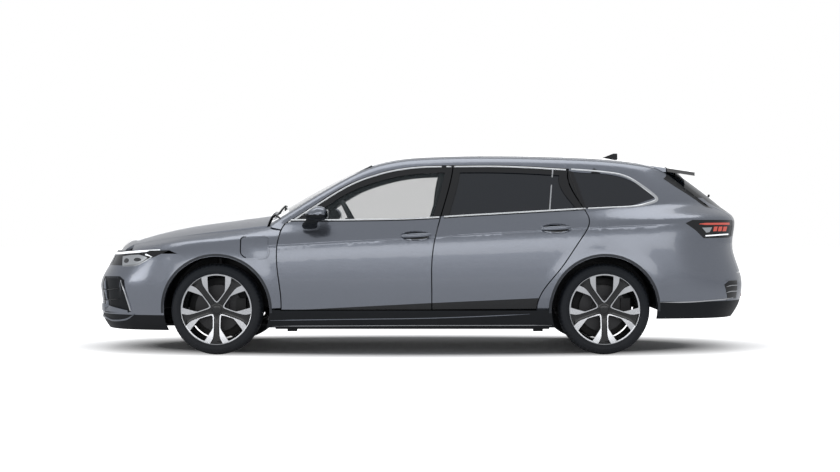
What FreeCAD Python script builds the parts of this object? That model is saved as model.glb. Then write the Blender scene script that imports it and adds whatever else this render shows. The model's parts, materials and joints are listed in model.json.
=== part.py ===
# Station wagon, a large estate car with five doors, in millimetres.
# The front looks along -X, the left side is at -Y and Z points up from the road.
import FreeCAD, Part
import math
import os

import Sketcher

from FreeCAD import Placement, Rotation, Vector

doc = FreeCAD.newDocument("station_wagon")
sheet = doc.addObject("Spreadsheet::Sheet", "sizes")

SIZES = [
    # Whole car
    ("overall_length", 4917),
    ("overall_width", 1852),
    ("overall_height", 1503),
    ("wheelbase", 2841),
    ("front_overhang", 955),
    ("front_track", 1584),
    ("rear_track", 1568),
    ("ground_clearance", 165),
    # Wheels
    ("tyre_diameter", 670.6),
    ("tyre_width", 235),
    ("rim_diameter", 500),
    ("rim_width", 216),
    ("hub_cap_diameter", 72),
    ("disc_diameter", 345),
    ("disc_thickness", 28),
    ("spoke_count", 5),
    ("stub_radius", 30),
    ("running_gap", 0.3),
    ("kingpin_inset", 90),
    ("kingpin_radius", 9),
    # Body form
    ("arch_radius", 388),
    ("flare_width", 120),
    ("flare_height", 8),
    ("belt_height", 1008),
    ("belt_slope", 0.046),
    ("belt_half_width", 848),
    ("cant_height", 1400),
    ("cant_half_width", 638),
    ("crease_height", 868),
    ("crease_half_width", 902),
    ("waist_height", 640),
    ("sill_height", 330),
    ("sill_half_width", 886),
    ("sill_bottom_height", 200),
    ("nose_corner_power", 3.5),
    ("tail_corner_power", 3.8),
    ("bumper_height", 520),
    ("hood_edge_height", 750),
    ("hood_edge_inset", 118),
    ("cowl_height", 1058),
    ("cowl_setback", 1352),
    ("header_height", 1428),
    ("header_setback", 2054),
    ("roof_rear_height", 1404),
    ("roof_rear_setback", 4394),
    ("hood_crown", 74),
    ("hood_sweep", 100),
    ("screen_sweep", 115),
    ("roof_crown", 40),
    ("roof_half_width", 560),
    # Panels
    ("door_gap", 8),
    ("lid_gap", 10),
    ("door_thickness", 105),
    ("frame_thickness", 42),
    ("wall_thickness", 34),
    ("glass_thickness", 5),
    ("glass_recess", 9),
    ("hood_thickness", 22),
    ("panel_thickness", 30),
    ("door_draft", 0.3),
    ("window_frame", 52),
    # Where other things are fastened
    ("jack_pad_length", 70),
    ("jack_pad_width", 50),
    ("plate_recess_width", 550),
    ("plate_recess_height", 118),
    ("plate_height", 804),
    ("plate_seat_inset", 82.5),
    ("plate_hole_spacing", 178),
    ("plate_hole_radius", 2.6),
    ("antenna_length", 182),
    ("antenna_top_length", 31),
    ("antenna_width", 46),
    ("antenna_top_width", 9),
    ("antenna_top", 1512),
]
for row, (name, value) in enumerate(SIZES, start=1):
    sheet.set(f"A{row}", name)
    sheet.set(f"B{row}", str(value))
    sheet.setAlias(f"B{row}", name)
doc.recompute()


def size(name):
    return float(sheet.get(name))


# Stations along the car
FRONT = -size("overall_length") / 2
REAR = size("overall_length") / 2
FRONT_AXLE = FRONT + size("front_overhang")
REAR_AXLE = FRONT_AXLE + size("wheelbase")
WHEEL_RADIUS = size("tyre_diameter") / 2
HALF_WIDTH = size("overall_width") / 2
SKIN_HALF_WIDTH = HALF_WIDTH - size("flare_height")
COWL = FRONT + size("cowl_setback")
HEADER = FRONT + size("header_setback")
ROOF_REAR = FRONT + size("roof_rear_setback")
HOOD_EDGE = FRONT + size("hood_edge_inset")

pieces = {}


def add_piece(name, shape):
    """One sub-part whose shape is worked out here from the sheet's sizes."""
    feature = doc.addObject("Part::Feature", name)
    feature.Shape = shape
    feature.Label = name
    pieces[name] = feature
    return feature


# Smooth curves


def smooth_curve(points):
    """Natural cubic spline through (position, value) points, straight beyond its ends."""
    xs = [p[0] for p in points]
    ys = [p[1] for p in points]
    count = len(points)
    gaps = [xs[i + 1] - xs[i] for i in range(count - 1)]
    slopes = [(ys[i + 1] - ys[i]) / gaps[i] for i in range(count - 1)]
    diagonal = [1.0] * count
    upper = [0.0] * count
    bend = [0.0] * count
    for i in range(1, count - 1):
        pivot = 2 * (gaps[i - 1] + gaps[i]) - gaps[i - 1] * upper[i - 1]
        diagonal[i] = pivot
        upper[i] = gaps[i] / pivot
        bend[i] = (6 * (slopes[i] - slopes[i - 1]) - gaps[i - 1] * bend[i - 1]) / pivot
    for i in range(count - 2, 0, -1):
        bend[i] -= upper[i] * bend[i + 1]

    def value(x):
        if x <= xs[0]:
            return ys[0] + (x - xs[0]) * (slopes[0] - gaps[0] * bend[1] / 6)
        if x >= xs[-1]:
            return ys[-1] + (x - xs[-1]) * (slopes[-1] + gaps[-1] * bend[-2] / 6)
        i = 0
        while x > xs[i + 1]:
            i += 1
        a = (xs[i + 1] - x) / gaps[i]
        b = (x - xs[i]) / gaps[i]
        cubic = ((a ** 3 - a) * bend[i] + (b ** 3 - b) * bend[i + 1]) * gaps[i] ** 2 / 6
        return a * ys[i] + b * ys[i + 1] + cubic

    return value


def smooth_step(value):
    value = min(max(value, 0.0), 1.0)
    return value * value * (3 - 2 * value)


def smooth_max(first, second, reach):
    overlap = max(reach - abs(first - second), 0.0)
    return max(first, second) + overlap * overlap / (4 * reach)


def solve(function, low, high):
    """The root of a rising function between low and high."""
    for _ in range(22):
        middle = (low + high) / 2
        if function(middle) > 0:
            high = middle
        else:
            low = middle
    return (low + high) / 2


# Body form, as formulas that every panel shares

BELT = size("belt_height")
SILL = size("sill_height")

section = smooth_curve([
    (size("sill_bottom_height") - 60, size("sill_half_width") - 48),
    (size("sill_bottom_height"), size("sill_half_width") - 24),
    (SILL, size("sill_half_width")),
    (SILL + 110, SKIN_HALF_WIDTH - 10),
    (size("waist_height"), SKIN_HALF_WIDTH),
    (size("waist_height") + 120, SKIN_HALF_WIDTH - 3),
    (size("crease_height"), size("crease_half_width")),
    (BELT, size("belt_half_width")),
    ((BELT + size("cant_height")) / 2, (size("belt_half_width") + size("cant_half_width")) / 2 + 8),
    (size("cant_height"), size("cant_half_width")),
    (size("cant_height") + 90, size("cant_half_width") - 58),
])
nose = smooth_curve([
    (size("ground_clearance") + 10, FRONT + 62),
    (260, FRONT + 12),
    (size("bumper_height") - 120, FRONT + 5),
    (size("bumper_height"), FRONT),
    (640, FRONT + 58),
    (700, FRONT + 92),
    (size("hood_edge_height"), HOOD_EDGE),
    (860, HOOD_EDGE + 60),
])
tail = smooth_curve([
    (250, REAR - 95),
    (340, REAR - 38),
    (450, REAR - 10),
    (560, REAR - 14),
    (700, REAR - 60),
    (800, REAR - 82),
    (940, REAR - 66),
    (1010, REAR - 74),
    (1060, REAR - 118),
    (1224, REAR - 315),
    (size("roof_rear_height"), REAR - 560),
])
hood_line = smooth_curve([
    (HOOD_EDGE, size("hood_edge_height") + 10),
    (HOOD_EDGE + 60, 826),
    (HOOD_EDGE + 180, 884),
    (HOOD_EDGE + 420, 944),
    (HOOD_EDGE + 760, 999),
    (COWL, size("cowl_height")),
])
screen_line = smooth_curve([
    (COWL, size("cowl_height")),
    ((COWL + HEADER) / 2, (size("cowl_height") + size("header_height")) / 2 + 14),
    (HEADER, size("header_height")),
])
roof_line = smooth_curve([
    (HEADER, size("header_height")),
    (HEADER + 230, size("header_height") + 47),
    (HEADER + 480, size("overall_height") - 8),
    (HEADER + 820, size("overall_height")),
    (HEADER + 1400, size("overall_height") - 8),
    (HEADER + 1800, size("overall_height") - 28),
    (ROOF_REAR, size("roof_rear_height")),
])


def half_width(x, z):
    """Half the body's width on the straight of its side, before the nose and tail round it off."""
    rise = size_of["belt_slope"] * x * smooth_step((z - 450) / 350)
    width = section(z - rise)
    upper = smooth_step((z - rise - 900) / 130)
    if upper > 0:
        front_pinch = 55 * max(0.0, (-200 - x) / 900) ** 2
        rear_pinch = 150 * max(0.0, (x - 500) / 1700) ** 2
        width -= upper * (front_pinch + rear_pinch)
    for axle in (FRONT_AXLE, REAR_AXLE):
        ring = math.hypot(x - axle, z - WHEEL_RADIUS) - size_of["arch_radius"]
        width += size_of["flare_height"] * smooth_step(1 - ring / size_of["flare_width"])
    return width


size_of = {name: size(name) for name, value in SIZES}


def side_gap(x, y, z):
    """How far a point lies outside the side, nose and tail, less than zero inside."""
    width = half_width(x, z)
    if x < FRONT_AXLE:
        power = size_of["nose_corner_power"]
        along = (FRONT_AXLE - x) / (FRONT_AXLE - nose(z))
    elif x > REAR_AXLE:
        power = size_of["tail_corner_power"]
        along = (x - REAR_AXLE) / (tail(z) - REAR_AXLE)
    else:
        return abs(y) - width
    return width * (((abs(y) / width) ** power + along ** power) ** (1 / power) - 1)


def hood_height(x, y):
    across = (y / 700) ** 2
    return hood_line(x - size_of["hood_sweep"] * across) - size_of["hood_crown"] * across


def screen_height(x, y):
    across = (y / 650) ** 2
    return screen_line(x - size_of["screen_sweep"] * across)


def roof_height(x, y):
    across = (y / size_of["roof_half_width"]) ** 2
    return roof_line(x) - size_of["roof_crown"] * across


def fender_gap(x, y, z):
    return smooth_max(side_gap(x, y, z), z - hood_height(x, y), 70)


def cabin_gap(x, y, z):
    top = -smooth_max(-screen_height(x, y), -roof_height(x, y), 30)
    return smooth_max(side_gap(x, y, z), z - top, 40)


# Solids between two sampled surfaces


def spread(low, high, count):
    return [low + (high - low) * i / (count - 1) for i in range(count)]


def surface_face(rows):
    surface = Part.BSplineSurface()
    surface.interpolate(rows)
    return surface.toShape()


def slab(outer_rows, inner_rows):
    """A closed solid between two grids of points with the same order of rows."""
    outer = surface_face(outer_rows)
    inner = surface_face(inner_rows)
    faces = [outer, inner]
    for first, second in zip(ordered_edges(outer), ordered_edges(inner)):
        faces.append(Part.makeRuledSurface(first, second))
    shell = Part.makeShell(Part.makeCompound(faces).Faces)
    shell.sewShape()
    solid = Part.makeSolid(shell)
    if solid.Volume < 0:
        solid.reverse()
    return solid


def ordered_edges(face):
    """The four edges of a grid's face: first row, last row, first column, last column."""
    surface = face.Surface
    low_u, high_u, low_v, high_v = surface.bounds()
    return [
        surface.uIso(low_u).toShape(low_v, high_v),
        surface.uIso(high_u).toShape(low_v, high_v),
        surface.vIso(low_v).toShape(low_u, high_u),
        surface.vIso(high_v).toShape(low_u, high_u),
    ]


def side_slab(gap, xs, zs, start, depth):
    """A left wall sampled across the car: it starts that far inside the skin and is that deep."""
    outer = []
    inner = []
    for x in xs:
        skin = [(solve(lambda y: gap(x, y, z), 100, 1100), z) for z in zs]
        outer.append([Vector(x, -(y - start(z)), z) for y, z in skin])
        inner.append([Vector(x, -(y - start(z) - depth(z)), z) for y, z in skin])
    return slab(outer, inner)


def steady(value):
    """The same depth at every height."""
    return lambda z: value


def section_slab(gap, xs, core, angles, start, depth):
    """A left wall sampled around a core line, so that it wraps from the side onto the top."""
    outer = []
    inner = []
    core_y, core_z = core
    for x in xs:
        outer_row = []
        inner_row = []
        for angle in angles:
            across = math.cos(math.radians(angle))
            up = math.sin(math.radians(angle))
            reach = solve(lambda r: gap(x, core_y + r * across, core_z + r * up), 20, 1400)
            for row, r in ((outer_row, reach - start), (inner_row, reach - start - depth)):
                row.append(Vector(x, -(core_y + r * across), core_z + r * up))
        outer.append(outer_row)
        inner.append(inner_row)
    return slab(outer, inner)


def plan_slab(core_x, angles, zs, start, depth):
    """A wall round the nose or tail, sampled in each level's plan from a core on the centre line."""
    outer = []
    inner = []
    for angle in angles:
        along = math.cos(math.radians(angle))
        across = math.sin(math.radians(angle))
        outer_row = []
        inner_row = []
        for z in zs:
            reach = solve(lambda r: side_gap(core_x + r * along, r * across, z), 50, 2500)
            for row, r in ((outer_row, reach - start), (inner_row, reach - start - depth)):
                row.append(Vector(core_x + r * along, -r * across, z))
        outer.append(outer_row)
        inner.append(inner_row)
    return slab(outer, inner)


def top_slab(height, xs, ys, start, depth):
    outer = [[Vector(x, y, height(x, y) - start) for y in ys] for x in xs]
    inner = [[Vector(x, y, height(x, y) - start - depth) for y in ys] for x in xs]
    return slab(outer, inner)


# Flat outlines and the cutters made from them

FAR = 4000


def shifted(points, toward, grow):
    """The line's points moved away from its region, square to the line, so that the region grows."""
    moved = []
    for i, (u, v) in enumerate(points):
        before = points[max(i - 1, 0)]
        after = points[min(i + 1, len(points) - 1)]
        along = (after[0] - before[0], after[1] - before[1])
        length = math.hypot(*along)
        normal = (along[1] / length, -along[0] / length)
        side = -1 if normal[0] * toward[0] + normal[1] * toward[1] > 0 else 1
        moved.append((u + side * grow * normal[0], v + side * grow * normal[1]))
    return moved


def half_plane(points, toward, plane, grow=0):
    """The flat region on one side of a smooth line that runs straight on beyond its ends."""
    vectors = [plane(*point) for point in shifted(points, toward, grow)]
    start = (vectors[0] - vectors[1]).normalize() * FAR
    end = (vectors[-1] - vectors[-2]).normalize() * FAR
    if len(vectors) > 2:
        curve = Part.BSplineCurve()
        curve.interpolate(vectors)
        middle = curve.toShape()
    else:
        middle = Part.makeLine(vectors[0], vectors[1])
    first = vectors[0] + start
    last = vectors[-1] + end
    away = (plane(*toward) - plane(0, 0)) * FAR
    edges = [
        Part.makeLine(first, vectors[0]),
        middle,
        Part.makeLine(vectors[-1], last),
        Part.makeLine(last, last + away),
        Part.makeLine(last + away, first + away),
        Part.makeLine(first + away, first),
    ]
    return Part.Face(Part.Wire(edges))


def common_face(faces):
    result = faces[0]
    for face in faces[1:]:
        result = result.common(face)
    return max(result.Faces, key=lambda f: f.Area)


def side_plane(x, z):
    return Vector(x, -HALF_WIDTH, z)


def drafted(x, z):
    """Where a skin point of the side lies in the drafted outline's own plane."""
    width = solve(lambda y: side_gap(x, y, z), 100, 1100)
    return (x + size_of["door_draft"] * (HALF_WIDTH - width), z)


def drafted_points(points):
    return [drafted(x, z) for x, z in points]


def drafted_prism(face, depth):
    """A cutter that goes inward and forward, along the way a door's edge swings out."""
    outward = Vector(size_of["door_draft"], -1, 0)
    moved = face.translated(outward * 60)
    return moved.extrude(outward * -(depth + 60))


def polygon(points, plane):
    vectors = [plane(*point) for point in points]
    return Part.Face(Part.makePolygon(vectors + [vectors[0]]))


def mirrored(shape):
    return shape.mirror(Vector(0, 0, 0), Vector(0, 1, 0))


def both_sides(shape):
    return Part.makeCompound([shape, mirrored(shape)])


def solids_of(shape, smallest=2000):
    """The shape's real solids, without slivers, as one compound."""
    kept = [solid for solid in shape.Solids if solid.Volume > smallest]
    return kept[0] if len(kept) == 1 else Part.makeCompound(kept)


def wheel_cylinder(axle, radius, inner_y, outer_y):
    low = min(inner_y, outer_y)
    return Part.makeCylinder(radius, abs(outer_y - inner_y), Vector(axle, low, WHEEL_RADIUS), Vector(0, 1, 0))


# Shut lines on the left side, as (x, z) points on the skin

DOOR_FRONT_LINE = [(-983, 985), (-1049, 854), (-1057, 638), (-1031, SILL)]
DOOR_MIDDLE_LINE = [(235, 1400), (140, 1022), (91, 828), (71, 561), (73, SILL)]
DOOR_TOP_LINE = [(-1060, 934), (-746, 1129), (-542, 1253), (-350, 1324), (-100, 1378), (235, 1394),
                 (554, 1394), (973, 1375), (1287, 1354)]
DOOR_REAR_LINE = [(1094, 1372), (1186, 1081), (1222, 1010), (1164, 854), (995, 611), (861, 427), (842, SILL)]
BELT_LINE = [(-960, 984), (280, 1021), (1208, 1073), (1594, 1098)]
QUARTER_TOP_LINE = [(1080, 1372), (1287, 1354), (1481, 1327), (1600, 1275), (1702, 1197), (1750, 1149)]
SILL_LINE = [(-2000, SILL), (2000, SILL)]


def door_outline(which, grow):
    """A side door's outline in the drafted plane, grown or shrunk from its shut line."""
    front = (drafted_points(DOOR_FRONT_LINE), (1, 0))
    middle = drafted_points(DOOR_MIDDLE_LINE)
    rear = (drafted_points(DOOR_REAR_LINE), (-1, 0))
    top = (drafted_points(DOOR_TOP_LINE), (0, -1))
    bottom = (SILL_LINE, (0, 1))
    if which == "front":
        lines = [front, (middle, (-1, 0)), top, bottom]
    elif which == "rear":
        lines = [(middle, (1, 0)), rear, top, bottom]
    else:
        lines = [front, rear, top, bottom]
    return common_face([half_plane(points, toward, side_plane, grow) for points, toward in lines])


def window_outline(which, grow):
    """A side door's glass, one window frame's width inside the door's own edges."""
    frame = size("window_frame")
    front = (drafted_points(DOOR_FRONT_LINE), (1, 0), grow - frame)
    middle = drafted_points(DOOR_MIDDLE_LINE)
    rear = (drafted_points(DOOR_REAR_LINE), (-1, 0), grow - frame)
    top = (drafted_points(DOOR_TOP_LINE), (0, -1), grow - frame)
    belt = (drafted_points(BELT_LINE), (0, 1), grow)
    if which == "front":
        lines = [front, (middle, (-1, 0), grow - frame), top, belt]
    else:
        lines = [(middle, (1, 0), grow - frame), rear, top, belt]
    return common_face([half_plane(points, toward, side_plane, more) for points, toward, more in lines])


def quarter_window_outline(grow):
    lines = [
        (drafted_points(DOOR_REAR_LINE[:2]), (1, 0), grow - size("door_gap") - 14),
        (drafted_points(QUARTER_TOP_LINE), (0, -1), grow - 18),
        (drafted_points(BELT_LINE), (0, 1), grow),
        (drafted_points([(1750, 1149), (1594, 1098)]), (0, 1), grow - 10),
    ]
    return common_face([half_plane(points, toward, side_plane, more) for points, toward, more in lines])


# Side walls of the left side: each is cut from a sampled slab, and the right side is its mirror

GAP = size("door_gap")
DEEP = 500


def door_depth(z):
    """A door is thick below the belt and thin round its glass."""
    frame = size_of["frame_thickness"]
    return frame + (size_of["door_thickness"] - frame) * smooth_step((960 - z) / 90)


# Hinge pins of the side doors: x, y and the height of each pin's middle
PIN_RADIUS = 5
PIN_SETBACK = 70
PIN_INSET = 20
DOOR_PINS = {
    "front": [(-1053 + PIN_SETBACK, PIN_INSET - SKIN_HALF_WIDTH, z) for z in (480, 720)],
    "rear": [(75 + PIN_SETBACK, PIN_INSET - SKIN_HALF_WIDTH, z) for z in (480, 720)],
}


def pin_cylinder(pin, radius, half_length):
    x, y, z = pin
    return Part.makeCylinder(radius, 2 * half_length, Vector(x, y, z - half_length))


def pin_notch(pin):
    """Room in a door for the bracket that holds its pin, open to the front and to the cabin."""
    x, y, z = pin
    return wall_box(x - 200, x + 14, y - 8, y + 300, z - 17, z + 17)


def pillar_start(z):
    """How deep inside the skin the hinge pillars stand, clear of the doors as they swing."""
    return 56 + 104 * smooth_step((1000 - z) / 140)


def make_pillars():
    """Door pillars of both sides, with the brackets and pins that carry the doors."""
    foot = SILL - GAP / 2
    front = side_slab(side_gap, spread(-1062, -958, 4), spread(foot, 930, 12), pillar_start, steady(40))
    middle = side_slab(side_gap, spread(40, 260, 6), spread(foot, 1410, 26), pillar_start, steady(30))
    band = [(262, 1400), (222, 1240), (200, 1060), (196, foot)]
    front_band = [(150, 1400), (112, 1240), (96, 1060), (94, foot)]
    outline = common_face([
        half_plane(front_band, (1, 0), side_plane),
        half_plane(band, (-1, 0), side_plane),
        half_plane([(-1000, 1378), (1000, 1378)], (0, -1), side_plane),
    ])
    middle = middle.common(outline.extrude(Vector(0, 700, 0)))
    pillars = []
    for pillar, pins in ((front, DOOR_PINS["front"]), (middle, DOOR_PINS["rear"])):
        for pin in pins:
            x, y, z = pin
            pillar = pillar.fuse([wall_box(x - 8, x + 8, y, y + 150, z - 12, z + 12),
                                  pin_cylinder(pin, PIN_RADIUS, 34)])
        pillars.append(solids_of(pillar))
    add_piece("door_pillars", Part.makeCompound(pillars + [mirrored(pillar) for pillar in pillars]))


def make_doors():
    door_xs = {"front": spread(-1140, 330, 26), "rear": spread(30, 1310, 24)}
    zs = spread(SILL - 40, 1440, 26)
    for which in ("front", "rear"):
        wall = side_slab(side_gap, door_xs[which], zs, steady(0), door_depth)
        door = wall.common(drafted_prism(door_outline(which, -GAP / 2), DEEP))
        door = door.cut(drafted_prism(window_outline(which, 0), DEEP))
        if which == "rear":
            door = door.cut(wheel_cylinder(REAR_AXLE, size("arch_radius") + 40, -HALF_WIDTH - 50, 0))
        for pin in DOOR_PINS[which]:
            door = door.cut(pin_notch(pin)).cut(pin_cylinder(pin, PIN_RADIUS + size("running_gap"), 40))
        pane = side_slab(side_gap, door_xs[which], zs, steady(size("glass_recess")),
                         steady(size("glass_thickness")))
        glass = pane.common(drafted_prism(window_outline(which, 0), DEEP))
        for side, turn in (("left", lambda shape: shape), ("right", mirrored)):
            add_piece(f"{which}_door_{side}", turn(solids_of(door)))
            add_piece(f"{which}_window_{side}", turn(solids_of(glass)))


# Plan and end outlines

HOOD_REAR = COWL - 34
TAILGATE_FRONT = ROOF_REAR - 90
TAILGATE_BOTTOM = 600
BELT_SEAM = [(-1200, 958), (1000, 1010), (1500, 1085), (1800, 1118), (2140, 1118)]
HOOD_SIDE_LINE = [(HOOD_REAR, 782), (-1500, 765), (-1940, 700), (-2090, 640), (-2262, 545)]
LAMP_OUTLINE = [(-2500, 648), (-2101, 655), (-1848, 768), (-2266, 762), (-2500, 762)]
FRONT_SEAM = [(-2600, 120), (-1600, 120), (-1690, 670), (-1744, 725), (-1848, 768), (-2101, 655), (-2500, 648),
              (-2600, 648)]
TAIL_LAMP_OUTLINE = [(1929, 966), (1985, 990), (2600, 990), (2600, 862), (2068, 855), (2005, 914)]
REAR_SEAM = [(2600, 862), (2068, 855), (1650, 607), (1560, 540), (1560, 120), (2600, 120)]
TAILGATE_SIDES = [(-630, TAILGATE_BOTTOM), (-630, 860), (-606, 1040), (-568, 1330), (-556, 1500)]


def side_prism(points, grow=0):
    """A cutter through the whole left side with a straight outline."""
    face = polygon(points, lambda x, z: Vector(x, -HALF_WIDTH - 60, z))
    if grow:
        face = face.makeOffset2D(grow)
    return face.extrude(Vector(0, HALF_WIDTH + 60, 0))


HOOD_DRAFT = 0.26
HOOD_BASE = 500


def lifted(x, y):
    """Where a skin point of the hood lies in the outline's own plane, for the way the hood lifts off."""
    return Vector(x + HOOD_DRAFT * (hood_height(x, y) - HOOD_BASE), y, HOOD_BASE)


def hood_prism(grow):
    """The hood's plan outline, extruded upwards and forwards."""
    flat = lambda x, y: Vector(x, y, HOOD_BASE)
    front = [lifted(plan_nose(y) + 6, y) for y in (-560, -300, 0, 300, 560)]
    side = [lifted(x, y) for x, y in HOOD_SIDE_LINE]
    lines = [
        ([(p.x, p.y) for p in front], (1, 0)),
        ([(p.x, p.y) for p in side], (0, -1)),
        ([(p.x, -p.y) for p in side], (0, 1)),
        ([(HOOD_REAR + 200, -900), (HOOD_REAR + 200, 900)], (-1, 0)),
    ]
    face = common_face([half_plane(points, toward, flat, grow) for points, toward in lines])
    prism = face.extrude(Vector(-HOOD_DRAFT, 0, 1) * 700)
    return prism.common(wall_box(-3000, HOOD_REAR + grow, -1000, 1000, 0, 2000))


def plan_nose(y):
    """Where the nose stands at the height of the hood's edge."""
    power = size_of["nose_corner_power"]
    level = size_of["hood_edge_height"]
    share = abs(y) / half_width(FRONT_AXLE, level)
    return FRONT_AXLE - (FRONT_AXLE - nose(level)) * (1 - share ** power) ** (1 / power)


def screen_prism(grow):
    """The windscreen's outline, extruded upwards."""
    half_base = 716 + grow
    half_top = 566 + grow
    sweep = 0.9 * size("screen_sweep")
    points = [
        (COWL + 20 - grow, 0),
        (COWL + 20 + sweep - grow, -half_base),
        (HEADER + 30 + grow, -half_top),
        (HEADER + grow, 0),
        (HEADER + 30 + grow, half_top),
        (COWL + 20 + sweep - grow, half_base),
    ]
    face = polygon(points, lambda x, y: Vector(x, y, 900))
    return face.extrude(Vector(0, 0, 900))


def tailgate_prism(grow):
    """The tailgate's outline seen from behind, extruded forwards to the boot."""
    left = [(y - grow, z) for y, z in TAILGATE_SIDES]
    left[0] = (left[0][0], left[0][1] - grow)
    right = [(-y, z) for y, z in reversed(left)]
    face = polygon(left + right, lambda y, z: Vector(TAILGATE_FRONT - grow, y, z))
    return face.extrude(Vector(1000, 0, 0))


def wall_box(x_low, x_high, y_low, y_high, z_low, z_high):
    return Part.makeBox(x_high - x_low, y_high - y_low, z_high - z_low, Vector(x_low, y_low, z_low))


def arch(axle):
    return wheel_cylinder(axle, size("arch_radius"), -HALF_WIDTH - 60, -300)


# Body panels


def make_side_frames():
    """Roof rails with their pillars, quarters, sills and fenders of the left side, mirrored to the right."""
    depth = size("wall_thickness")
    opening = drafted_prism(door_outline("both", GAP / 2), DEEP)
    half_roof = size("roof_half_width")
    above_roof_seam = wall_box(-3000, 3000, -half_roof, half_roof, 900, 2000)
    seam = half_plane(BELT_SEAM, (0, 1), lambda x, z: Vector(x, -1000, z)).extrude(Vector(0, 1000, 0))
    quarter_glass = drafted_prism(quarter_window_outline(0), DEEP)
    lid = tailgate_prism(size("lid_gap"))

    rail = section_slab(cabin_gap, spread(COWL - 10, REAR - 225, 60), (330, 800), spread(8, 78, 30), 0, depth)
    rail = rail.cut(opening).cut(above_roof_seam).cut(screen_prism(0)).common(seam)
    rail = rail.cut(quarter_glass).cut(lid)
    add_piece("roof_rails", both_sides(solids_of(rail)))

    quarter = plan_slab(1500, spread(20, 140, 76), spread(250, 1200, 50), 0, depth)
    quarter = quarter.cut(seam).cut(opening).cut(arch(REAR_AXLE)).cut(lid)
    quarter = quarter.cut(side_prism(REAR_SEAM)).cut(side_prism(TAIL_LAMP_OUTLINE))
    quarter = quarter.cut(wall_box(-3000, DOOR_REAR_LINE[-1][0] + GAP / 2, -1000, 0, 0, 2000))
    quarter = quarter.cut(wall_box(-3000, 3000, -1000, 0, 0, SILL))
    right_quarter = quarter.cut(drafted_prism(flap_outline(FUEL_FLAP, GAP / 2), 200)).fuse(flap_seat(FUEL_FLAP))
    right_quarter = mirrored(right_quarter)
    add_piece("rear_quarters", Part.makeCompound([solids_of(quarter), solids_of(right_quarter)]))

    sill = side_slab(side_gap, spread(-1200, 1010, 24), spread(size("sill_bottom_height"), SILL, 6),
                     steady(0), steady(170))
    sill = sill.cut(arch(FRONT_AXLE)).cut(arch(REAR_AXLE)).cut(opening)
    add_piece("sills", both_sides(solids_of(sill)))

    fender = section_slab(fender_gap, spread(-2150, -985, 64), (520, 560), spread(-30, 76, 44), 0, 16)
    fender = fender.cut(hood_prism(GAP)).cut(opening).cut(arch(FRONT_AXLE)).cut(side_prism(FRONT_SEAM))
    fender = fender.cut(side_prism(LAMP_OUTLINE)).cut(wall_box(-3000, 3000, -1000, 0, 0, SILL))
    fender = fender.cut(wall_box(HOOD_REAR, 0, -760, 0, 0, 2000)).cut(seam)
    left_fender = fender.cut(drafted_prism(flap_outline(CHARGE_FLAP, GAP / 2), 200)).fuse(flap_seat(CHARGE_FLAP))
    add_piece("front_fenders", Part.makeCompound([solids_of(left_fender), solids_of(mirrored(fender))]))


# Flaps over the charge socket and the fuel filler: centre x and z, length and height
CHARGE_FLAP = (-1225, 790, 200, 150)
FUEL_FLAP = (1560, 880, 170, 150)
FLAP_THICKNESS = 6


def flap_seat(flap):
    """The rim behind a flap's free edges, which it shuts against."""
    x, z, length, height = flap
    rim = side_slab(side_gap, spread(x - length, x + length, 12), spread(z - height, z + height, 10),
                    steady(FLAP_THICKNESS + size("running_gap")), steady(8))
    rim = rim.common(drafted_prism(flap_outline(flap, 14), 200)).cut(drafted_prism(flap_outline(flap, -14), 200))
    return rim.common(wall_box(x - length / 2 + 40, x + length, -1000, 0, 0, 2000))


def flap_outline(flap, grow):
    """A flap's outline on the left side, in the drafted plane."""
    x, z, length, height = flap
    corners = []
    for a, b, radius in ((-1, -1, 46), (1, -1, 22), (1, 1, 22), (-1, 1, 22)):
        for turn in (0, 30, 60, 90) if a == b else (90, 60, 30, 0):
            corners.append((x + a * (length / 2 - radius + radius * math.cos(math.radians(turn))),
                            z + b * (height / 2 - radius + radius * math.sin(math.radians(turn)))))
    face = polygon([drafted(*corner) for corner in corners], side_plane)
    return face.makeOffset2D(grow) if grow else face


def make_quarter_windows():
    pane = side_slab(side_gap, spread(1000, 1830, 22), spread(1040, 1410, 12), steady(4),
                     steady(size("glass_thickness")))
    pane = pane.common(drafted_prism(quarter_window_outline(0), DEEP))
    add_piece("quarter_windows", both_sides(solids_of(pane)))


def make_flaps():
    for name, flap, turn in (("charge_flap", CHARGE_FLAP, lambda shape: shape), ("fuel_flap", FUEL_FLAP, mirrored)):
        x, z, length, height = flap
        wall = side_slab(side_gap, spread(x - length, x + length, 12), spread(z - height, z + height, 10),
                         steady(0), steady(FLAP_THICKNESS))
        add_piece(name, turn(solids_of(wall.common(drafted_prism(flap_outline(flap, -GAP / 2), 200)))))


def make_wheel_liners():
    """Half drums over the wheels, closed towards the middle of the car."""
    radius = size("arch_radius")
    liners = []
    for axle in (FRONT_AXLE, REAR_AXLE):
        drum = wheel_cylinder(axle, radius + 8, -840, -492).cut(wheel_cylinder(axle, radius, -841, -500))
        drum = drum.cut(wheel_cylinder(axle, 170, -841, -480)).common(
            wall_box(-3000, 3000, -900, 0, SILL + size("running_gap"), 2000))
        liners += [solids_of(drum), mirrored(solids_of(drum))]
    add_piece("wheel_liners", Part.makeCompound(liners))


# Hinges of the hood and the tailgate: pins across the car, a little inside the skin
LID_PIN_RADIUS = 4
LID_PIN_SPREAD = 160
LID_PIN_SETBACK = 25
HOOD_PIN = (HOOD_REAR - LID_PIN_SETBACK,
            hood_height(HOOD_REAR - LID_PIN_SETBACK, LID_PIN_SPREAD) - size("hood_thickness") / 2)
SPOILER_THICKNESS = 26
TAILGATE_PIN = (TAILGATE_FRONT + LID_PIN_SETBACK,
                roof_height(TAILGATE_FRONT + LID_PIN_SETBACK, LID_PIN_SPREAD) - SPOILER_THICKNESS / 2)


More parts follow.
